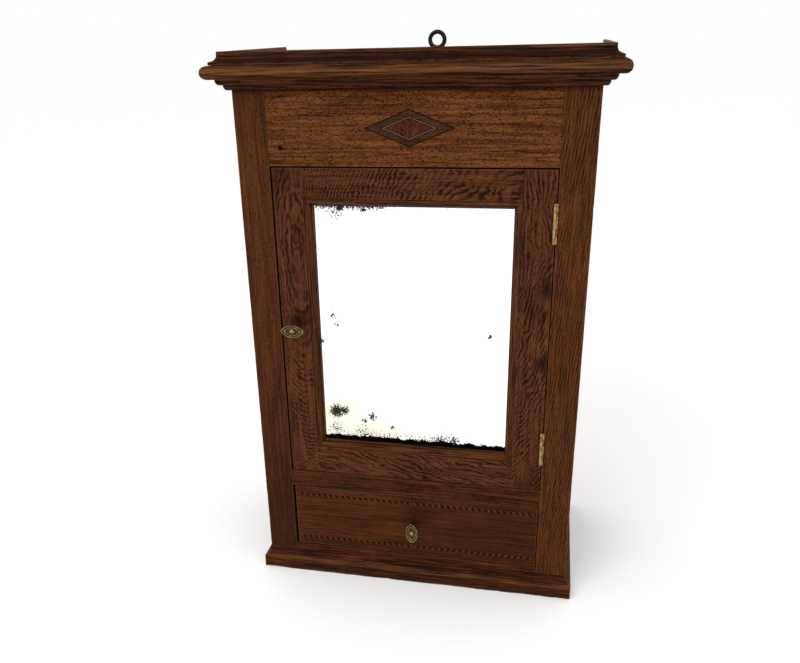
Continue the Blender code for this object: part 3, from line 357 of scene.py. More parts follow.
def figured(along, **changes):
    """Flat-sawn from near the heart: the rings cross the face at a slant, with sharp dips."""
    base = {
        "ring": 4.6 * MM,
        "sway": (45 * MM, 80 * MM, 18 * MM),
        "dips": (6 * MM, 26 * MM, 5 * MM),
        "lines": 0.85,
        "streaks": 0.55,
        "pores": 0.8,
        "pore_size": (1.9 * MM, 5 * MM),
        "clouds": 0.24,
        "wear": 0.25,
    }
    base.update(changes)
    return straight(along, **base)


# light wood, dark ring line, pore (also the tone of the painted shade), rubbed edge
LEFT_POST_TONES = ("#522d14", "#281004", "#1a0700", "#6b4527")
RIGHT_POST_TONES = ("#573016", "#260e02", "#1c0800", "#6b4527")
FRIEZE_TONES = ("#693c1c", "#3a1806", "#1e0900", "#74492a")
DOOR_TONES = ("#59321b", "#210a02", "#170601", "#6b4629")
DRAWER_TONES = ("#4f290f", "#261002", "#1a0900", "#664322")
RAIL_TONES = ("#52290f", "#190800", "#150600", "#5e3c20")
MOULDING_TONES = ("#512a12", "#180600", "#0f0300", "#6a4629")
BEAD_TONES = ("#5b341a", "#1b0800", "#140500", "#6a472a")
SOFTWOOD_TONES = ("#a98458", "#86603a", "#7a5632", "#b8966a")


def grimy_edge():
    """The edges of boards inside a joint or a gap, almost black: painted shade for the dark gap, with old wax
    and dust in the end fibres.
    """
    material, n, shader = new_material("oak edge, painted gap shade and old wax")
    position = n("TexCoord").outputs["Object"]
    mottle = n("TexNoise", {"Vector": position, "Scale": EDGE_MOTTLE, "Detail": 4.0, "Roughness": 0.7}).outputs[0]
    mottle = n("MapRange", {0: mottle, 1: 0.35, 2: 0.68, 3: 0.0, 4: 1.0}).outputs[0]
    # both tones stand for painted shade in the gap, with old wax; the noise mottles them
    wax, painted_shade = hex_colour("#2d190e"), hex_colour("#1a0d07")
    colour = n("Mix", {0: mottle, 6: wax, 7: painted_shade}, data_type="RGBA").outputs[2]
    link(material, colour, shader.inputs["Base Color"])
    shader.inputs["Roughness"].default_value = 0.75
    shader.inputs["Specular IOR Level"].default_value = 0.1
    return material


# ---------------------------------------------------------------- other materials
def aged_brass(name, bright, dull, patina, metallic=1.0):
    """Cast and stamped brass, rubbed bright on top and gone olive brown in the hollows."""
    material, n, shader = new_material(name)
    position = n("TexCoord").outputs["Object"]
    coarse = {"Vector": position, "Scale": BRASS_BLOTCHES, "Detail": 4.0, "Roughness": 0.6}
    blotch = n("TexNoise", coarse).outputs[0]
    fine = n("TexNoise", {"Vector": position, "Scale": BRASS_GRAIN, "Detail": 2.0}).outputs[0]
    tarnish = n("MapRange", {0: blotch, 1: 0.38, 2: 0.66, 3: 0.0, 4: patina}).outputs[0]
    colour = n("Mix", {0: tarnish, 6: hex_colour(bright), 7: hex_colour(dull)}, data_type="RGBA").outputs[2]
    link(material, colour, shader.inputs["Base Color"])
    rough = n("MapRange", {0: blotch, 1: 0.3, 2: 0.7, 3: 0.28, 4: 0.5}).outputs[0]
    link(material, rough, shader.inputs["Roughness"])
    relief = n("Bump", {"Height": fine, "Strength": 0.25, "Distance": 0.08 * MM}).outputs[0]
    link(material, relief, shader.inputs["Normal"])
    shader.inputs["Metallic"].default_value = metallic
    return material


def blackened_iron(name):
    """Forged iron wire with a black oxide skin, brown where it has rusted through."""
    material, n, shader = new_material(name)
    position = n("TexCoord").outputs["Object"]
    scale = n("TexNoise", {"Vector": position, "Scale": IRON_SKIN, "Detail": 4.0}).outputs[0]
    rust = n("MapRange", {0: scale, 1: 0.52, 2: 0.7, 3: 0.0, 4: 0.7}).outputs[0]
    oxide, brown = hex_colour("#0c0a07"), hex_colour("#1c130b")
    colour = n("Mix", {0: rust, 6: oxide, 7: brown}, data_type="RGBA").outputs[2]
    link(material, colour, shader.inputs["Base Color"])
    relief = n("Bump", {"Height": scale, "Strength": 0.5, "Distance": 0.2 * MM}).outputs[0]
    link(material, relief, shader.inputs["Normal"])
    shader.inputs["Roughness"].default_value = 0.55
    shader.inputs["Specular IOR Level"].default_value = 0.25
    return material


def plain_steel(name):
    """Turned steel pin and square nut, dulled by handling."""
    material, n, shader = new_material(name)
    position = n("TexCoord").outputs["Object"]
    dull = n("TexNoise", {"Vector": position, "Scale": STEEL_MARKS, "Detail": 3.0}).outputs[0]
    clean, handled = hex_colour("#a39c90"), hex_colour("#6f665a")
    colour = n("Mix", {0: dull, 6: clean, 7: handled}, data_type="RGBA").outputs[2]
    link(material, colour, shader.inputs["Base Color"])
    shader.inputs["Metallic"].default_value = 1.0
    shader.inputs["Roughness"].default_value = 0.42
    return material


# clusters of lost silver: centre from the glass's lower left corner, reach, strength
FOXING = (
    (40 * MM, 311 * MM, 9 * MM, 1.35),
    (68 * MM, 308 * MM, 7 * MM, 1.1),
    (34 * MM, 306 * MM, 24 * MM, 0.7),
    (25 * MM, 49 * MM, 17 * MM, 1.3),
    (35 * MM, 50 * MM, 13 * MM, 1.15),
    (72 * MM, 44 * MM, 11 * MM, 1.0),
    (62 * MM, 38 * MM, 8 * MM, 1.0),
    (26 * MM, 178 * MM, 12 * MM, 0.85),
    (30 * MM, 167 * MM, 9 * MM, 0.85),
    (218 * MM, 160 * MM, 6 * MM, 1.1),
    (9 * MM, 144 * MM, 8 * MM, 1.3),
    (98 * MM, 31 * MM, 7 * MM, 1.0),
    (60 * MM, 18 * MM, 34 * MM, 0.7),
    (105 * MM, 12 * MM, 28 * MM, 0.65),
    (160 * MM, 14 * MM, 26 * MM, 0.95),
    (176 * MM, 18 * MM, 18 * MM, 0.9),
    (24 * MM, 24 * MM, 26 * MM, 0.7),
)


def silvered_glass(name, node):
    """Old silvered glass: clean in the middle, with black spots where damp has lifted the silver."""
    material, n, shader = new_material(name)
    low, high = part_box(node)
    position = n("TexCoord").outputs["Object"]
    corner = n("VectorMath", {0: position, 1: low}, operation="SUBTRACT").outputs[0]
    flat = n("VectorMath", {0: corner, 1: (1, 0, 1)}, operation="MULTIPLY").outputs[0]
    across, _, up = n("SeparateXYZ", {0: flat}).outputs
    fine = {"Vector": flat, "Scale": SILVER_SPECKS, "Detail": 5.0, "Roughness": 0.68}
    speck = n("TexNoise", fine).outputs[0]

    # the silver goes first along the bottom, then along the top's left part, and in clusters
    bottom = n("MapRange", {0: up, 1: 9 * MM, 2: 34 * MM, 3: 0.75, 4: 0.1}).outputs[0]
    haze = n("TexNoise", {"Vector": flat, "Scale": SILVER_HAZE, "Detail": 3.0}).outputs[0]
    uneven = n("MapRange", {0: haze, 1: 0.4, 2: 0.6, 3: 0.55, 4: 1.1}).outputs[0]
    bottom = n("Math", {0: bottom, 1: uneven}, operation="MULTIPLY").outputs[0]
    from_top = n("Math", {0: high.z - low.z, 1: up}, operation="SUBTRACT").outputs[0]
    top = n("MapRange", {0: from_top, 1: 9 * MM, 2: 20 * MM, 3: 0.85, 4: 0.0}).outputs[0]
    left_part = n("MapRange", {0: across, 1: 0.085, 2: 0.12, 3: 1.0, 4: 0.3}).outputs[0]
    top = n("Math", {0: top, 1: left_part}, operation="MULTIPLY").outputs[0]
    loss = n("Math", {0: bottom, 1: top}, operation="MAXIMUM").outputs[0]
    for x, z, reach, strength in FOXING:
        away = n("VectorMath", {0: flat, 1: (x, 0, z)}, operation="DISTANCE").outputs["Value"]
        near = n("MapRange", {0: away, 1: 0.0, 2: reach, 3: strength, 4: 0.0}).outputs[0]
        loss = n("Math", {0: loss, 1: near}, operation="MAXIMUM").outputs[0]
    level = n("Math", {0: loss, 1: 0.34, 2: speck}, operation="MULTIPLY_ADD").outputs[0]
    bare = n("MapRange", {0: level, 1: 0.70, 2: 0.745, 3: 0.0, 4: 1.0}).outputs[0]

    # along the sill a ragged strip is painted almost black, with no shine
    torn = {"Vector": flat, "Scale": SILL_RAGGEDNESS, "Detail": 5.0, "Roughness": 0.7}
    ragged = n("TexNoise", torn).outputs[0]
    strip = n("MapRange", {0: ragged, 1: 0.3, 2: 0.7, 3: 12.5 * MM, 4: 18.5 * MM}).outputs[0]
    sill = n("Math", {0: up, 1: strip}, operation="LESS_THAN").outputs[0]
    bare = n("Math", {0: bare, 1: sill}, operation="MAXIMUM").outputs[0]

    # what is left of the silver has yellowed near the lower left corner
    low_left = n("VectorMath", {0: flat, 1: (0.03, 0, 0.02)}, operation="DISTANCE").outputs["Value"]
    amber = n("MapRange", {0: low_left, 1: 0.0, 2: 0.15, 3: 0.9, 4: 0.0}).outputs[0]
    amber = n("Math", {0: amber, 1: haze}, operation="MULTIPLY").outputs[0]
    clear, yellowed = hex_colour("#ffffff"), hex_colour("#d8c894")
    silver = n("Mix", {0: amber, 6: clear, 7: yellowed}, data_type="RGBA").outputs[2]
    grain = n("TexNoise", {"Vector": flat, "Scale": LOST_SILVER_GRAIN, "Detail": 2.0}).outputs[0]
    grain = n("MapRange", {0: grain, 1: 0.42, 2: 0.6, 3: 0.0, 4: 1.0}).outputs[0]
    black, grey = hex_colour("#0a0806"), hex_colour("#45422f")
    tone = n("Mix", {0: grain, 6: black, 7: grey}, data_type="RGBA").outputs[2]
    tone = n("Mix", {0: sill, 6: tone, 7: hex_colour("#080604")}, data_type="RGBA").outputs[2]
    colour = n("Mix", {0: bare, 6: silver, 7: tone}, data_type="RGBA").outputs[2]
    link(material, colour, shader.inputs["Base Color"])
    metal = n("Math", {0: 1.0, 1: bare}, operation="SUBTRACT").outputs[0]
    link(material, metal, shader.inputs["Metallic"])
    # silver shines as a metal whatever this is, and where the silver is gone nothing shines
    shader.inputs["Specular IOR Level"].default_value = 0.0
    rough = n("MapRange", {0: bare, 1: 0.0, 2: 1.0, 3: 0.015, 4: 0.35}).outputs[0]
    link(material, rough, shader.inputs["Roughness"])
    return material


# ---------------------------------------------------------------- modelling helpers
def only(piece):
    """Makes the piece the one selected and active object."""
    bpy.ops.object.select_all(action="DESELECT")
    piece.select_set(True)
    bpy.context.view_layer.objects.active = piece


def edit(piece):
    only(piece)
    bpy.ops.object.mode_set(mode="EDIT")


def leave():
    bpy.ops.object.mode_set(mode="OBJECT")


def settle(piece):
    """Puts the place, turn and size of the object into its mesh."""
    only(piece)
    bpy.ops.object.transform_apply(location=True, rotation=True, scale=True)


def smooth(piece, angle=SMOOTH):
    only(piece)
    bpy.ops.object.shade_smooth_by_angle(angle=angle)


def paint(piece, *materials):
    piece.data.materials.clear()
    for material in materials:
        piece.data.materials.append(material)


BODY_OF = {node: body for body, nodes in frame["record"]["behaviour"]["bodies"].items() for node in nodes}
SLOT_OF = {entry["node"]: entry["material_slot"] for entry in frame["record"]["subparts"]}


def stand_for(piece, node):
    """The piece is seen in place of the frame's node and moves with it."""
    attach(piece, BODY_OF[node])
    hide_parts(node)


def copy_of(node):
    """A copy of a frame node whose loose triangles are merged back into flat faces."""
    piece = bpy.data.objects.new(f"{node}_shaped", frame["nodes"][node].data.copy())
    bpy.context.scene.collection.objects.link(piece)
    edit(piece)
    bpy.ops.mesh.select_all(action="SELECT")
    bpy.ops.mesh.customdata_custom_splitnormals_clear()
    bpy.ops.mesh.remove_doubles(threshold=MERGE)
    bpy.ops.mesh.dissolve_limited(angle_limit=FLAT)
    leave()
    return piece


def join(name, pieces):
    """Makes one piece of several."""
    bpy.ops.object.select_all(action="DESELECT")
    for piece in pieces:
        piece.select_set(True)
    bpy.context.view_layer.objects.active = pieces[0]
    bpy.ops.object.join()
    pieces[0].name = name
    return pieces[0]


def pick_edges(piece, wanted):
    """Selects the edges for which wanted(middle, direction) is true."""
    edit(piece)
    bpy.ops.mesh.select_mode(type="EDGE")
    bpy.ops.mesh.select_all(action="DESELECT")
    leave()
    points = piece.data.vertices
    for item in piece.data.edges:
        first, second = (points[i].co for i in item.vertices)
        item.select = wanted((first + second) / 2, second - first)


def on_box_edge(low, high):
    """A test for edges that lie on two faces of the box at once."""

    def wanted(middle, _):
        gaps = (min(abs(middle[i] - low[i]), abs(middle[i] - high[i])) for i in range(3))
        return sum(gap < MERGE * 5 for gap in gaps) >= 2

    return wanted


def bevel_picked(piece, width, segments=2):
    edit(piece)
    bpy.ops.mesh.bevel(offset=width, segments=segments, affect="EDGES", clamp_overlap=True)
    leave()


def mesh_box(piece):
    """The lowest and highest corners of the piece's mesh."""
    corners = [vert.co for vert in piece.data.vertices]
    low = Vector([min(c[i] for c in corners) for i in range(3)])
    high = Vector([max(c[i] for c in corners) for i in range(3)])
    return low, high


def cut_across(piece, axis, step):
    """Cuts the piece into short lengths, so that its arrises can wander."""
    low, high = mesh_box(piece)
    normal = Vector((0, 0, 0))
    normal[axis] = 1
    edit(piece)
    place = low[axis] + step
    while place < high[axis] - step / 2:
        bpy.ops.mesh.select_all(action="SELECT")
        bpy.ops.mesh.bisect(plane_co=normal * place, plane_no=normal)
        place += step
    leave()


def wear(piece, low, high, depth, seed, reach=2 * MM):
    """Draws the arrises of a box-like piece inwards by up to depth, in long waves and small nicks."""
    for vert in piece.data.vertices:
        gaps = [min(abs(vert.co[i] - low[i]), abs(vert.co[i] - high[i])) for i in range(3)]
        close = sorted(range(3), key=lambda i: gaps[i])
        if gaps[close[1]] > reach:
            continue
        spot = vert.co * WAVES_PER_METRE + Vector((seed, 2.3 * seed, 0.7 * seed))
        wave = max(0.0, noise.noise(spot) + 0.1)
        spot = vert.co * NICKS_PER_METRE + Vector((seed, seed, seed))
        nick = max(0.0, noise.noise(spot) - 0.25)
        move = depth * (0.7 * wave + 1.6 * nick)
        for i in close[:2]:
            inward = 1 if abs(vert.co[i] - low[i]) < abs(vert.co[i] - high[i]) else -1
            vert.co[i] += inward * min(move, depth)


def board(node, material, along, depth=0.25 * MM, seed=1.0, width=BOARD_ARRIS, gaps=""):
    """A planed board with eased and slightly worn arrises.

    gaps names those of its faces that lie in a dark gap, such as +x-z; these are painted almost black, as
    painted shade with old wax.
    """
    low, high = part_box(node)
    piece = copy_of(node)
    pick_edges(piece, on_box_edge(low, high))
    bevel_picked(piece, width)
    if depth:
        cut_across(piece, "xyz".index(along), WEAR_STEP)
        wear(piece, low, high, depth, seed)
    smooth(piece)
    # the second material is the almost black edge: painted shade for the gaps, with old wax
    paint(piece, material, GAP_SHADE_AND_WAX)
    for sign, axis in zip(gaps[::2], gaps[1::2]):
        blacken(piece, "xyz".index(axis), 1 if sign == "+" else -1, low, high)
    stand_for(piece, node)
    return piece


def blacken(piece, axis, side, low, high):
    """Gives the faces on one side of the board the almost black edge: painted shade for the gap, with old wax.
    """
    plane = high[axis] if side > 0 else low[axis]
    for face in piece.data.polygons:
        if face.normal[axis] * side > 0.85 and abs(face.center[axis] - plane) < GAP_FACE_REACH:
            face.material_index = 1


def moulding(node, material, along, depth, seed):
    """A run of moulding: its sharp members are eased, and its outer edges worn."""
    low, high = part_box(node)
    piece = copy_of(node)
    ease = piece.modifiers.new("ease", "BEVEL")
    ease.width = MOULDING_ARRIS
    ease.segments = 2
    ease.limit_method = "ANGLE"
    ease.angle_limit = SMOOTH
    only(piece)
    bpy.ops.object.modifier_apply(modifier=ease.name)
    cut_across(piece, "xyz".index(along), WEAR_STEP)
    wear(piece, low, high, depth, seed, reach=1.2 * MM)
    smooth(piece)
    paint(piece, material)
    stand_for(piece, node)
    return piece


# ---------------------------------------------------------------- carcass
def make_frame_boards():
    # painted shade: the left post darker towards its foot
    low_left = ((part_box("stile_left")[0].x, FRONT, 0.02), 0.27, 1.0)
    left_cut = straight("z", ring=2.4 * MM, lines=0.35, streaks=0.6, pores=0.6, darkened=(low_left,),
                        grimy=SHADOW_UNDER_MOULDING)
    right_cut = straight("z", lean=(1, 0.2, -0.15), ring=3.4 * MM, sway=(40 * MM, 130 * MM, 9 * MM),
                         lines=0.7, pores=0.6, pore_size=(1.8 * MM, 4.5 * MM), dips=(6 * MM, 20 * MM, 3 * MM),
                         grimy=SHADOW_UNDER_MOULDING)
    posts = (("stile_left", LEFT_POST_TONES, left_cut, 3.1, "+x"),
             ("stile_right", RIGHT_POST_TONES, right_cut, 7.7, "-x"))
    for node, tones, cut, seed, gaps in posts:
        board(node, oak(f"oak post {node}", node, tones, cut, seed), "z", 0.3 * MM, seed, gaps=gaps)
    for node, seed in (("side_panel_left", 4.4), ("side_panel_right", 9.2)):
        cut = straight("z", lean=(0.1, 1, 0.02), ring=6 * MM, sway=(60 * MM, 180 * MM, 22 * MM), lines=0.7)
        board(node, oak(f"oak side {node}", node, RIGHT_POST_TONES, cut, seed), "z", 0.3 * MM, seed)
    for node, seed, gaps in (("middle_rail", 2.6, "+z-z"), ("bottom_rail", 5.9, "+z")):
        cut = straight("x", ring=3.4 * MM, lines=0.65, streaks=0.75, pores=0.6)
        board(node, oak(f"oak rail {node}", node, RAIL_TONES, cut, seed), "x", 0.15 * MM, seed, gaps=gaps)


def make_frieze():
    """The frieze board has short dark pores all over, and an old nail hole near its left end."""
    # painted shadow along the top of the frieze, under the moulding
    cut = straight("x", ring=9 * MM, lines=0.25, streaks=0.75, pores=0.85, pore_size=(1.35 * MM, 3.9 * MM),
                   open_pores=(0.41, 0.51), fray=0.25, grimy=SHADOW_UNDER_MOULDING)
    wood = oak("oak frieze", "frieze_board", FRIEZE_TONES, cut, 6.3)
    piece = board("frieze_board", wood, "x", 0.0, 6.3, gaps="-z")
    low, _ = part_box("frieze_board")
    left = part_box("stile_left")[1].x
    bpy.ops.object.select_all(action="DESELECT")
    spot = Vector((left + NAIL_HOLE_FROM_POST, FRONT, low.z + NAIL_HOLE_FROM_BELOW))
    bpy.ops.mesh.primitive_cylinder_add(vertices=11, radius=NAIL_HOLE_RADIUS, depth=2 * NAIL_HOLE_DEPTH,
                                        location=spot, rotation=(math.pi / 2, 0.4, 0))
    drill = bpy.context.object
    drill.scale = (1.05, 0.85, 1)
    settle(drill)
    hole = piece.modifiers.new("nail hole", "BOOLEAN")
    hole.operation = "DIFFERENCE"
    hole.object = drill
    only(piece)
    bpy.ops.object.modifier_apply(modifier=hole.name)
    bpy.data.objects.remove(drill)
    # the hole's walls get the almost black edge: painted shade in the hole, with old wax
    for face in piece.data.polygons:
        inside = face.center.y > FRONT + 0.2 * MM
        if inside and (face.center - spot).length < NAIL_HOLE_DARK:
            face.material_index = 1


def nosed_top(material, depth, seed):
    """The top board: its round nose is already in the shape, so only its wear is added."""
    low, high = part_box("top_board")
    piece = copy_of("top_board")
    cut_across(piece, 0, WEAR_STEP)
    wear(piece, low, high, depth, seed, reach=3 * MM)
    smooth(piece)
    paint(piece, material)
    stand_for(piece, "top_board")


def make_cornice():
    """The nosed top and two rows of mitred moulding: rubbed where they stand out, with painted shade in the
    hollow.
    """
    # faces that look up are painted lighter and faces that look down darker: painted light from above, with
    # dust
    front = straight("x", ring=3.4 * MM, lines=0.6, streaks=0.9, pores=0.5, wear=0.6, clouds=0.4, dusty=0.12,
                     sway=(20 * MM, 60 * MM, 8 * MM), pore_size=(1.8 * MM, 7 * MM))
    low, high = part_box("top_board")
    nosed = dict(front, rubbed=(((low.z + high.z) / 2, 6 * MM, 0.75),))
    nosed_top(oak("oak nosed top", "top_board", MOULDING_TONES, nosed, 1.7), 0.3 * MM, 1.7)
    crown_low, crown_high = (corner.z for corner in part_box("top_moulding_front"))
    # the crown's top edge is rubbed lighter, and its hollow gets painted shade
    crown = {"rubbed": ((crown_high, 3.5 * MM, 0.7),), "grimy": ((crown_low + 5 * MM, 8 * MM, 0.75),)}
    for kind, depth, worn in (("bed_moulding", 0.2 * MM, {}), ("top_moulding", 0.45 * MM, crown)):
        for label, along in (("front", "x"), ("left", "y"), ("right", "y")):
            node = f"{kind}_{label}"
            seed = 2.0 + len(node) * 0.37 + depth * 9000
            cut = dict(front, along=along, **worn)
            moulding(node, oak(f"oak {kind} {label}", node, MOULDING_TONES, cut, seed), along, depth, seed)


def make_base():
    """The moulded base board, whose lower arris is worn ragged."""
    # faces that look up are painted lighter and faces that look down darker: painted light from above, with
    # dust
    cut = straight("x", ring=3.4 * MM, lines=0.6, streaks=0.9, pores=0.5, wear=0.8, clouds=0.4, dusty=0.15,
                   rubbed=((BASE_ARRIS, 2.6 * MM, 0.6), (0.0, 4 * MM, 0.3)), sway=(20 * MM, 60 * MM, 8 * MM),
                   pore_size=(1.8 * MM, 7 * MM))
    moulding("base_board", oak("oak base", "base_board", MOULDING_TONES, cut, 8.8), "x", 1.1 * MM, 8.8)


def make_screw_eye():
    """A ring bent from wire, on a shank with a collar."""
    low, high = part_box("screw_eye")
    outer = (high.x - low.x) / 2
    wire = outer * 0.225  # half its thickness
    centre = Vector((0, (low.y + high.y) / 2, high.z - outer))
    bpy.ops.object.select_all(action="DESELECT")
    bpy.ops.mesh.primitive_torus_add(location=centre, rotation=(math.pi / 2, 0, 0), major_segments=56,
                                     minor_segments=18, major_radius=outer - wire, minor_radius=wire)
    ring = bpy.context.object
    settle(ring)
    length = centre.z - (outer - wire) - low.z
    bpy.ops.mesh.primitive_cylinder_add(vertices=20, radius=wire * 0.92, depth=length,
                                        location=(0, centre.y, low.z + length / 2))
    shank = bpy.context.object
    edit(shank)
    bpy.ops.mesh.select_all(action="SELECT")
    bpy.ops.mesh.bevel(offset=0.3 * MM, segments=2, affect="EDGES")
    leave()
    settle(shank)
    collar_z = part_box("top_board")[1].z
    bpy.ops.mesh.primitive_cone_add(vertices=24, radius1=wire * 1.9, radius2=wire, depth=wire * 1.1,
                                    location=(0, centre.y, collar_z + wire * 0.6))
    collar = bpy.context.object
    settle(collar)
    piece = join("screw_eye_wire", [ring, shank, collar])
    smooth(piece)
    paint(piece, blackened_iron("blackened iron wire"))
    stand_for(piece, "screw_eye")


# ---------------------------------------------------------------- inlays
def make_frieze_inlay():
    """A diamond of grey-brown wood with a light string between two dark ones, round a reddish centre."""
    low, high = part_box("frieze_inlay")
    centre, half = (low + high) / 2, (high - low) / 2
    bpy.ops.object.select_all(action="DESELECT")
    bpy.ops.mesh.primitive_circle_add(vertices=4, radius=1, fill_type="NGON", rotation=(math.pi / 2, 0, 0),
                                      location=(centre.x, low.y, centre.z))
    piece = bpy.context.object
    piece.name = "frieze_diamond"
    piece.scale = (half.x, half.z, 1)
    settle(piece)
    field = straight("x", ring=2.6 * MM, lines=0.5, pores=0.7, wear=0, clouds=0.3)
    tones = ("#432817", "#221108", "#180802", "#432817")
    woods = [
        plain_string("dark string", "#180903"),
        oak("inlay field", "frieze_inlay", tones, field, 3.9),
        plain_string("light string", "#6d543a"),
        oak("inlay centre", "frieze_inlay", ("#4f2a17", "#260f06", "#180802", "#4f2a17"),
            figured("z", lean=(0.8, 0.2, 0.5), ring=3 * MM, sway=(12 * MM, 12 * MM, 6 * MM), wear=0), 5.1),
    ]
    paint(piece, *woods)
    edit(piece)
    bpy.ops.mesh.select_all(action="SELECT")
    leave()
    for width, index in ((BORDER_LINE, 1), (FIELD_WIDTH, 0), (DARK_LINE, 2), (LIGHT_LINE, 0), (DARK_LINE, 3)):
        edit(piece)
        bpy.ops.mesh.select_mode(type="FACE")
        bpy.ops.mesh.inset(thickness=width)
        leave()
        for face in piece.data.polygons:
            if face.select:
                face.material_index = index
    body = piece.modifiers.new("veneer thickness", "SOLIDIFY")
    body.thickness = high.y - low.y
    body.offset = -1
    only(piece)
    bpy.ops.object.modifier_apply(modifier=body.name)
    stand_for(piece, "frieze_inlay")


def plain_string(name, tone):
    """A thin sawn string of holly or bog oak: one even tone with a faint fibre."""
    material, n, shader = new_material(name)
    position = n("TexCoord").outputs["Object"]
    fibre = n("TexNoise", {"Vector": position, "Scale": STRING_FIBRES, "Detail": 2.0}).outputs[0]
    gain = n("MapRange", {0: fibre, 1: 0.3, 2: 0.7, 3: 0.8, 4: 1.15}).outputs[0]
    colour = n("VectorMath", {0: hex_colour(tone)[:3], 3: gain}, operation="SCALE").outputs[0]
    link(material, colour, shader.inputs["Base Color"])
    shader.inputs["Roughness"].default_value = 0.5
    shader.inputs["Specular IOR Level"].default_value = 0.05
    return material


def slanted_run(name, start, length, slant, low, high, material, node):
    """A row of short strings with slanted ends, one pitch apart, sawn off flush at both ends of its part."""
    bpy.ops.object.select_all(action="DESELECT")
    centre = Vector((start + length / 2, (low.y + high.y) / 2, (low.z + high.z) / 2))
    bpy.ops.mesh.primitive_cube_add(size=1, location=centre)
    piece = bpy.context.object
    piece.name = name
    piece.scale = (length - DASH_GAP, high.y - low.y, high.z - low.z)
    settle(piece)
    for vert in piece.data.vertices:
        vert.co.x += slant / 2 if vert.co.z > centre.z else -slant / 2
    row = piece.modifiers.new("row", "ARRAY")
    row.count = int((high.x - start) / DASH_PITCH) + 2
    row.use_relative_offset = False
    row.use_constant_offset = True
    row.constant_offset_displace = (DASH_PITCH, 0, 0)
    only(piece)
    bpy.ops.object.modifier_apply(modifier=row.name)
    for end, side in ((low, -1), (high, 1)):
        edit(piece)
        bpy.ops.mesh.select_all(action="SELECT")
        bpy.ops.mesh.bisect(plane_co=end, plane_no=(side, 0, 0), clear_outer=True, use_fill=True)
        leave()
    paint(piece, material)
    stand_for(piece, node)


def make_rope_inlays():
    """Two rows of slanted dark dashes on lighter wood. The lower row's right half leans the other way."""
    dark = plain_string("rope inlay dark", "#1f0a03")
    pale = plain_string("rope inlay ground", "#512c14")
    for label, leans in (("top", (-1, -1)), ("bottom", (-1, 1))):
        node = f"drawer_inlay_{label}"
        low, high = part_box(node)
        middle = (low.x + high.x) / 2
        for part, (lean, left, right) in enumerate(((leans[0], low.x, middle), (leans[1], middle, high.x))):
            corners = Vector((left, low.y, low.z)), Vector((right, high.y, high.z))
            begin = left - DASH_PITCH / 2
            shift = lean * DASH_SLANT
            rest = DASH_PITCH - DASH_LENGTH
            slanted_run(f"{node}_dark_{part}", begin, DASH_LENGTH, shift, *corners, dark, node)
            slanted_run(f"{node}_ground_{part}", begin + DASH_LENGTH, rest, shift, *corners, pale, node)


# ---------------------------------------------------------------- door
def make_door():
    low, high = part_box("door_knob")
    # painted shadow of the knob: a darker patch above and right of it
    knob_shadow = (((low.x + high.x) / 2 + 5 * MM, FRONT, (low.z + high.z) / 2 + 10 * MM), 17 * MM, 1.3)
    low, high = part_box("door_stile_right")
    corner = ((high.x, FRONT, low.z), 42 * MM, 0.9)
    knots = [((high.x - 3 * MM, FRONT, low.z + up), wide, 1.4)
             for up, wide in ((0.26, 18 * MM), (0.17, 15 * MM))]
    top_left = ((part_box("door_stile_left")[0].x, FRONT, high.z), 48 * MM, 0.9)
    top = figured("x", lean=(0.42, 0.2, 0.0), arch=2.4, arch_at=0.17, ring=5.2 * MM, lines=0.95,
                  sway=(26 * MM, 50 * MM, 14 * MM), dips=(6 * MM, 14 * MM, 9 * MM))
    bottom = figured("x", lean=(0.8, 0.2, 0.3), twist=1.4, ring=5.6 * MM, darkened=(corner,),
                     sway=(22 * MM, 60 * MM, 26 * MM), dips=(6 * MM, 18 * MM, 7 * MM))
    left = figured("z", lean=(-0.5, 0.2, 0.0), arch=1.8, arch_at=0.1, cup=30.0, ring=5.0 * MM,
                   darkened=(knob_shadow, top_left), sway=(26 * MM, 60 * MM, 10 * MM), dips=(6 * MM, 11 * MM, 7 * MM))
    right = figured("z", lean=(1, 0.2, 0.0), arch=1.1, arch_at=0.14, ring=4.8 * MM, darkened=(corner, *knots),
                    sway=(26 * MM, 45 * MM, 24 * MM), dips=(6 * MM, 14 * MM, 7 * MM))
    boards = (("door_rail_top", "x", top, 4.2, "+z"), ("door_rail_bottom", "x", bottom, 8.1, "-z"),
              ("door_stile_left", "z", left, 2.2, "-x+z-z"), ("door_stile_right", "z", right, 6.9, "+x+z-z"))
    for node, along, cut, seed, gaps in boards:
        board(node, oak(f"oak door {node}", node, DOOR_TONES, cut, seed), along, 0.2 * MM, seed, gaps=gaps)
    for label, along in (("left", "z"), ("right", "z"), ("top", "x"), ("bottom", "x")):
        node = f"door_bead_{label}"
        cut = straight(along, ring=2.8 * MM, lines=0.5, streaks=0.8, pores=0.5, wear=0.25)
        seed = 1.3 + 1.9 * len(label)
        moulding(node, oak(f"oak bead {label}", node, BEAD_TONES, cut, seed), along, 0.1 * MM, seed)
    glass = frame["nodes"]["mirror_glass"]
    paint(glass, silvered_glass("old silvered glass", "mirror_glass"))


# ---------------------------------------------------------------- brass
def marquise_ring(piece, half_length, half_width):
    """Draws a circle of radius 1 into a leaf: between an oval and two arcs that meet in points."""
    bulge = (half_length**2 + half_width**2) / (2 * half_width)
    reach = math.asin(half_length / bulge)
    for vert in piece.data.vertices:
        angle = math.atan2(vert.co.y, vert.co.x)
        turn = (1 - 2 * abs(angle) / math.pi) * reach
        side = 1 if angle >= 0 else -1
        arc = Vector((bulge * math.sin(turn), side * (bulge * math.cos(turn) - (bulge - half_width)), 0))
        oval = Vector((half_length * math.cos(angle), half_width * math.sin(angle), 0))
        vert.co = arc.lerp(oval, LEAF_ROUNDNESS)


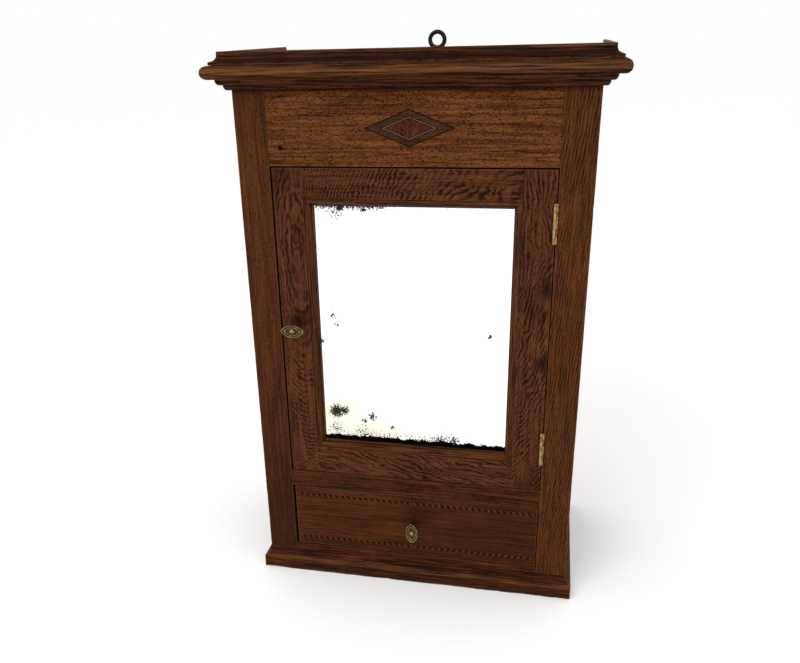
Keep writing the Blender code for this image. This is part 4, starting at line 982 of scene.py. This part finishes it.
# from the back of the plate to its boss, in mm: in from the ends, in from the sides, up towards the front
PLATE_STEPS = ((0, 0, 1.6), (0, 0, 2.2), (0.4, 0.3, 2.6), (2.2, 1.5, 2.6), (2.6, 1.8, 1.9), (4.0, 2.6, 1.8),
               (4.4, 2.9, 2.8), (5.2, 3.4, 2.8), (5.6, 3.7, 1.7), (10.8, 5.0, 1.6), (11.2, 5.2, 2.9),
               (12.2, 6.0, 3.7), (13.6, 7.0, 4.0))
PLATE_FRONT = 4.0 * MM


def make_knob(node, upright, tilt, brass, patina):
    """A stamped leaf-shaped plate with a beaded rim, an inner rim and a boss, on a turned stem."""
    low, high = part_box(node)
    centre_x, centre_z = (low.x + high.x) / 2, (low.z + high.z) / 2
    half_l = max(high.x - low.x, high.z - low.z) / 2
    half_w = min(high.x - low.x, high.z - low.z) / 2
    bpy.ops.object.select_all(action="DESELECT")
    bpy.ops.mesh.primitive_circle_add(vertices=KNOB_SEGMENTS, radius=1, fill_type="NGON")
    plate = bpy.context.object
    scale_x, scale_y, height = 0.80, 0.72, 0.0  # the plate is undercut: its back is this share of its size
    marquise_ring(plate, half_l * scale_x, half_w * scale_y)
    for from_end, from_side, up in PLATE_STEPS:
        want_x = 1 - from_end * MM / half_l
        want_y = 1 - from_side * MM / half_w
        edit(plate)
        bpy.ops.mesh.select_mode(type="FACE")
        bpy.ops.mesh.extrude_region_move(TRANSFORM_OT_translate={"value": (0, 0, (up - height) * MM)})
        bpy.ops.transform.resize(value=(want_x / scale_x, want_y / scale_y, 1), center_override=(0, 0, 0))
        leave()
        scale_x, scale_y, height = want_x, want_y, up
    pieces = [plate, turned_stem(low, high)]
    pieces += rim_beads(half_l - 1.15 * MM, half_w - 0.75 * MM)
    for piece in pieces:
        paint(piece, brass, patina)
    # the hollows of the plate have gone dark with patina; the stem gets the same dark brass, partly tarnish
    # and partly painted shade under the plate
    for face in plate.data.polygons:
        face.material_index = 1 if face.center.z < PLATE_HOLLOW else 0
    for face in pieces[1].data.polygons:
        face.material_index = 1
    knob = join(f"{node}_cast", pieces)
    knob.rotation_euler = (math.pi / 2, math.radians(90 + tilt) if upright else math.radians(tilt), 0)
    knob.location = (centre_x, low.y + PLATE_FRONT, centre_z)
    settle(knob)
    smooth(knob)
    stand_for(knob, node)


def rim_beads(half_length, half_width):
    """Small beads in a row round the rim."""
    bpy.ops.object.select_all(action="DESELECT")
    bpy.ops.mesh.primitive_circle_add(vertices=BEAD_COUNT, radius=1)
    guide = bpy.context.object
    marquise_ring(guide, half_length, half_width)
    spots = [vert.co.copy() for vert in guide.data.vertices]
    bpy.data.objects.remove(guide)
    beads = []
    for spot in spots:
        spot.z = BEAD_HEIGHT
        bpy.ops.mesh.primitive_uv_sphere_add(segments=10, ring_count=6, radius=BEAD_RADIUS, location=spot)
        beads.append(bpy.context.object)
    return beads


def turned_stem(low, high):
    """The stem behind the plate: a neck, a small foot on the wood and the spindle. Z points to the front."""
    radius, height = 3.4, 0.4  # in mm
    bpy.ops.object.select_all(action="DESELECT")
    bpy.ops.mesh.primitive_circle_add(vertices=32, radius=radius * MM, fill_type="NGON",
                                      location=(0, 0, height * MM))
    stem = bpy.context.object
    settle(stem)
    wood = -(FRONT - low.y - PLATE_FRONT) / MM
    tail = -(high.y - low.y - PLATE_FRONT) / MM
    rings = ((2.8, -1.0), (2.0, -3.5), (2.0, -7.0), (2.6, wood + 2.6), (3.4, wood + 1.4), (3.4, wood + 0.35),
             (2.2, wood + 0.3), (2.2, tail + 0.3), (2.0, tail))
    for wide, up in rings:
        edit(stem)
        bpy.ops.mesh.select_mode(type="FACE")
        bpy.ops.mesh.extrude_region_move(TRANSFORM_OT_translate={"value": (0, 0, (up - height) * MM)})
        bpy.ops.transform.resize(value=(wide / radius, wide / radius, 1), center_override=(0, 0, 0))
        leave()
        radius, height = wide, up
    edit(stem)
    bpy.ops.mesh.select_all(action="SELECT")
    bpy.ops.mesh.normals_make_consistent(inside=False)
    leave()
    return stem


def make_brass():
    knob_brass = aged_brass("aged brass, rubbed", "#a8956a", "#5f4e28", 0.85)
    patina = aged_brass("aged brass, olive brown in the hollows", "#4a3a18", "#1d1404", 1.0, metallic=0.6)
    hinge_brass = aged_brass("yellow brass hinges", "#b0955c", "#5f4824", 0.9)
    make_knob("door_knob", False, 0.0, knob_brass, patina)
    make_knob("drawer_knob", True, -3.0, knob_brass, patina)
    for node, slot in SLOT_OF.items():
        if slot != "brass" or node.endswith("knob"):
            continue
        piece = copy_of(node)
        smooth(piece)
        paint(piece, hinge_brass)
        stand_for(piece, node)


# ---------------------------------------------------------------- drawer and inside
def make_drawer():
    low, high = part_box("drawer_knob")
    # painted shadow of the knob: a darker patch above and right of it
    above = (((low.x + high.x) / 2 + 8 * MM, FRONT, high.z + 8 * MM), 30 * MM, 0.8)
    right = ((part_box("drawer_front")[1].x - 30 * MM, FRONT, low.z), 0.16, 0.7)
    cut = straight("x", ring=2.6 * MM, lines=0.3, streaks=0.7, pores=0.4, clouds=0.16, wear=0.5,
                   darkened=(above, right), pore_size=(1.9 * MM, 9 * MM))
    wood = oak("oak drawer front", "drawer_front", DRAWER_TONES, cut, 7.3)
    board("drawer_front", wood, "x", 0.2 * MM, 7.3, gaps="-x+x-z+z")


def finish_inside():
    """Planed softwood inside, where nobody looks: pale, wide rings, no wear."""
    seed = 1.0
    lengthwise = {"drawer_side_left": "y", "drawer_side_right": "y", "drawer_runner_left": "y",
                  "drawer_runner_right": "y", "back_board_wide": "z", "back_board_narrow": "z",
                  "mirror_backing_board": "z"}
    steel = plain_steel("turned steel")
    for node, slot in SLOT_OF.items():
        if slot == "softwood":
            seed += 1.27
            cut = straight(lengthwise.get(node, "x"), ring=7 * MM, lines=0.7, pores=0.05, wear=0.2,
                           sway=(60 * MM, 160 * MM, 20 * MM))
            paint(frame["nodes"][node], oak(f"pine {node}", node, SOFTWOOD_TONES, cut, seed))
        elif slot == "steel":
            paint(frame["nodes"][node], steel)


# ---------------------------------------------------------------- stage
def make_stage():
    bpy.ops.object.select_all(action="DESELECT")
    bpy.ops.mesh.primitive_plane_add(size=FLOOR_SIZE, location=(0, 0, -FLOOR_DROP))
    floor = bpy.context.object
    floor.name = "studio_floor"
    material, _, shader = new_material("pale floor")
    shader.inputs["Base Color"].default_value = hex_colour("#ffffff")
    shader.inputs["Roughness"].default_value = 0.9
    paint(floor, material)

    world = bpy.data.worlds.new("soft studio")
    bpy.context.scene.world = world
    world.use_nodes = True
    sky = world.node_tree.nodes["Background"]
    sky.inputs["Color"].default_value = (1.0, 1.0, 1.0, 1.0)
    sky.inputs["Strength"].default_value = 1.0

    # name, place and size in metres, watts
    lights = (("key", (-0.6, -1.4, 2.0), 1.2, 16), ("fill", (2.2, -2.2, 1.2), 2.0, 6))
    for name, place, size, watts in lights:
        lamp = bpy.data.lights.new(name, "AREA")
        lamp.size = size
        lamp.energy = watts
        holder = bpy.data.objects.new(name, lamp)
        holder.location = place
        holder.rotation_euler = (Vector(LOOK_AT) - Vector(place)).to_track_quat("-Z", "Y").to_euler()
        bpy.context.scene.collection.objects.link(holder)

    bpy.context.scene.view_settings.view_transform = "Standard"


def make_camera():
    """Near the top of the cabinet, in front of its right post, looking down to the left."""
    data = bpy.data.cameras.new("camera")
    data.lens = CAMERA_LENS
    data.shift_x, data.shift_y = CAMERA_SHIFT
    camera = bpy.data.objects.new("camera", data)
    camera.location = CAMERA_PLACE
    pan = Matrix.Rotation(math.radians(CAMERA_PAN), 4, "Z")
    pitch = Matrix.Rotation(math.radians(90 + CAMERA_TILT), 4, "X")
    roll = Matrix.Rotation(math.radians(CAMERA_ROLL), 4, "Z")
    camera.rotation_euler = (pan @ pitch @ roll).to_euler()
    bpy.context.scene.collection.objects.link(camera)
    bpy.context.scene.camera = camera


# the almost black edge of the gaps and the nail hole: painted shade, with old wax
GAP_SHADE_AND_WAX = grimy_edge()

make_camera()
make_stage()
make_frame_boards()
make_frieze()
make_frieze_inlay()
make_cornice()
make_base()
make_screw_eye()
make_door()
make_drawer()
make_rope_inlays()
make_brass()
finish_inside()
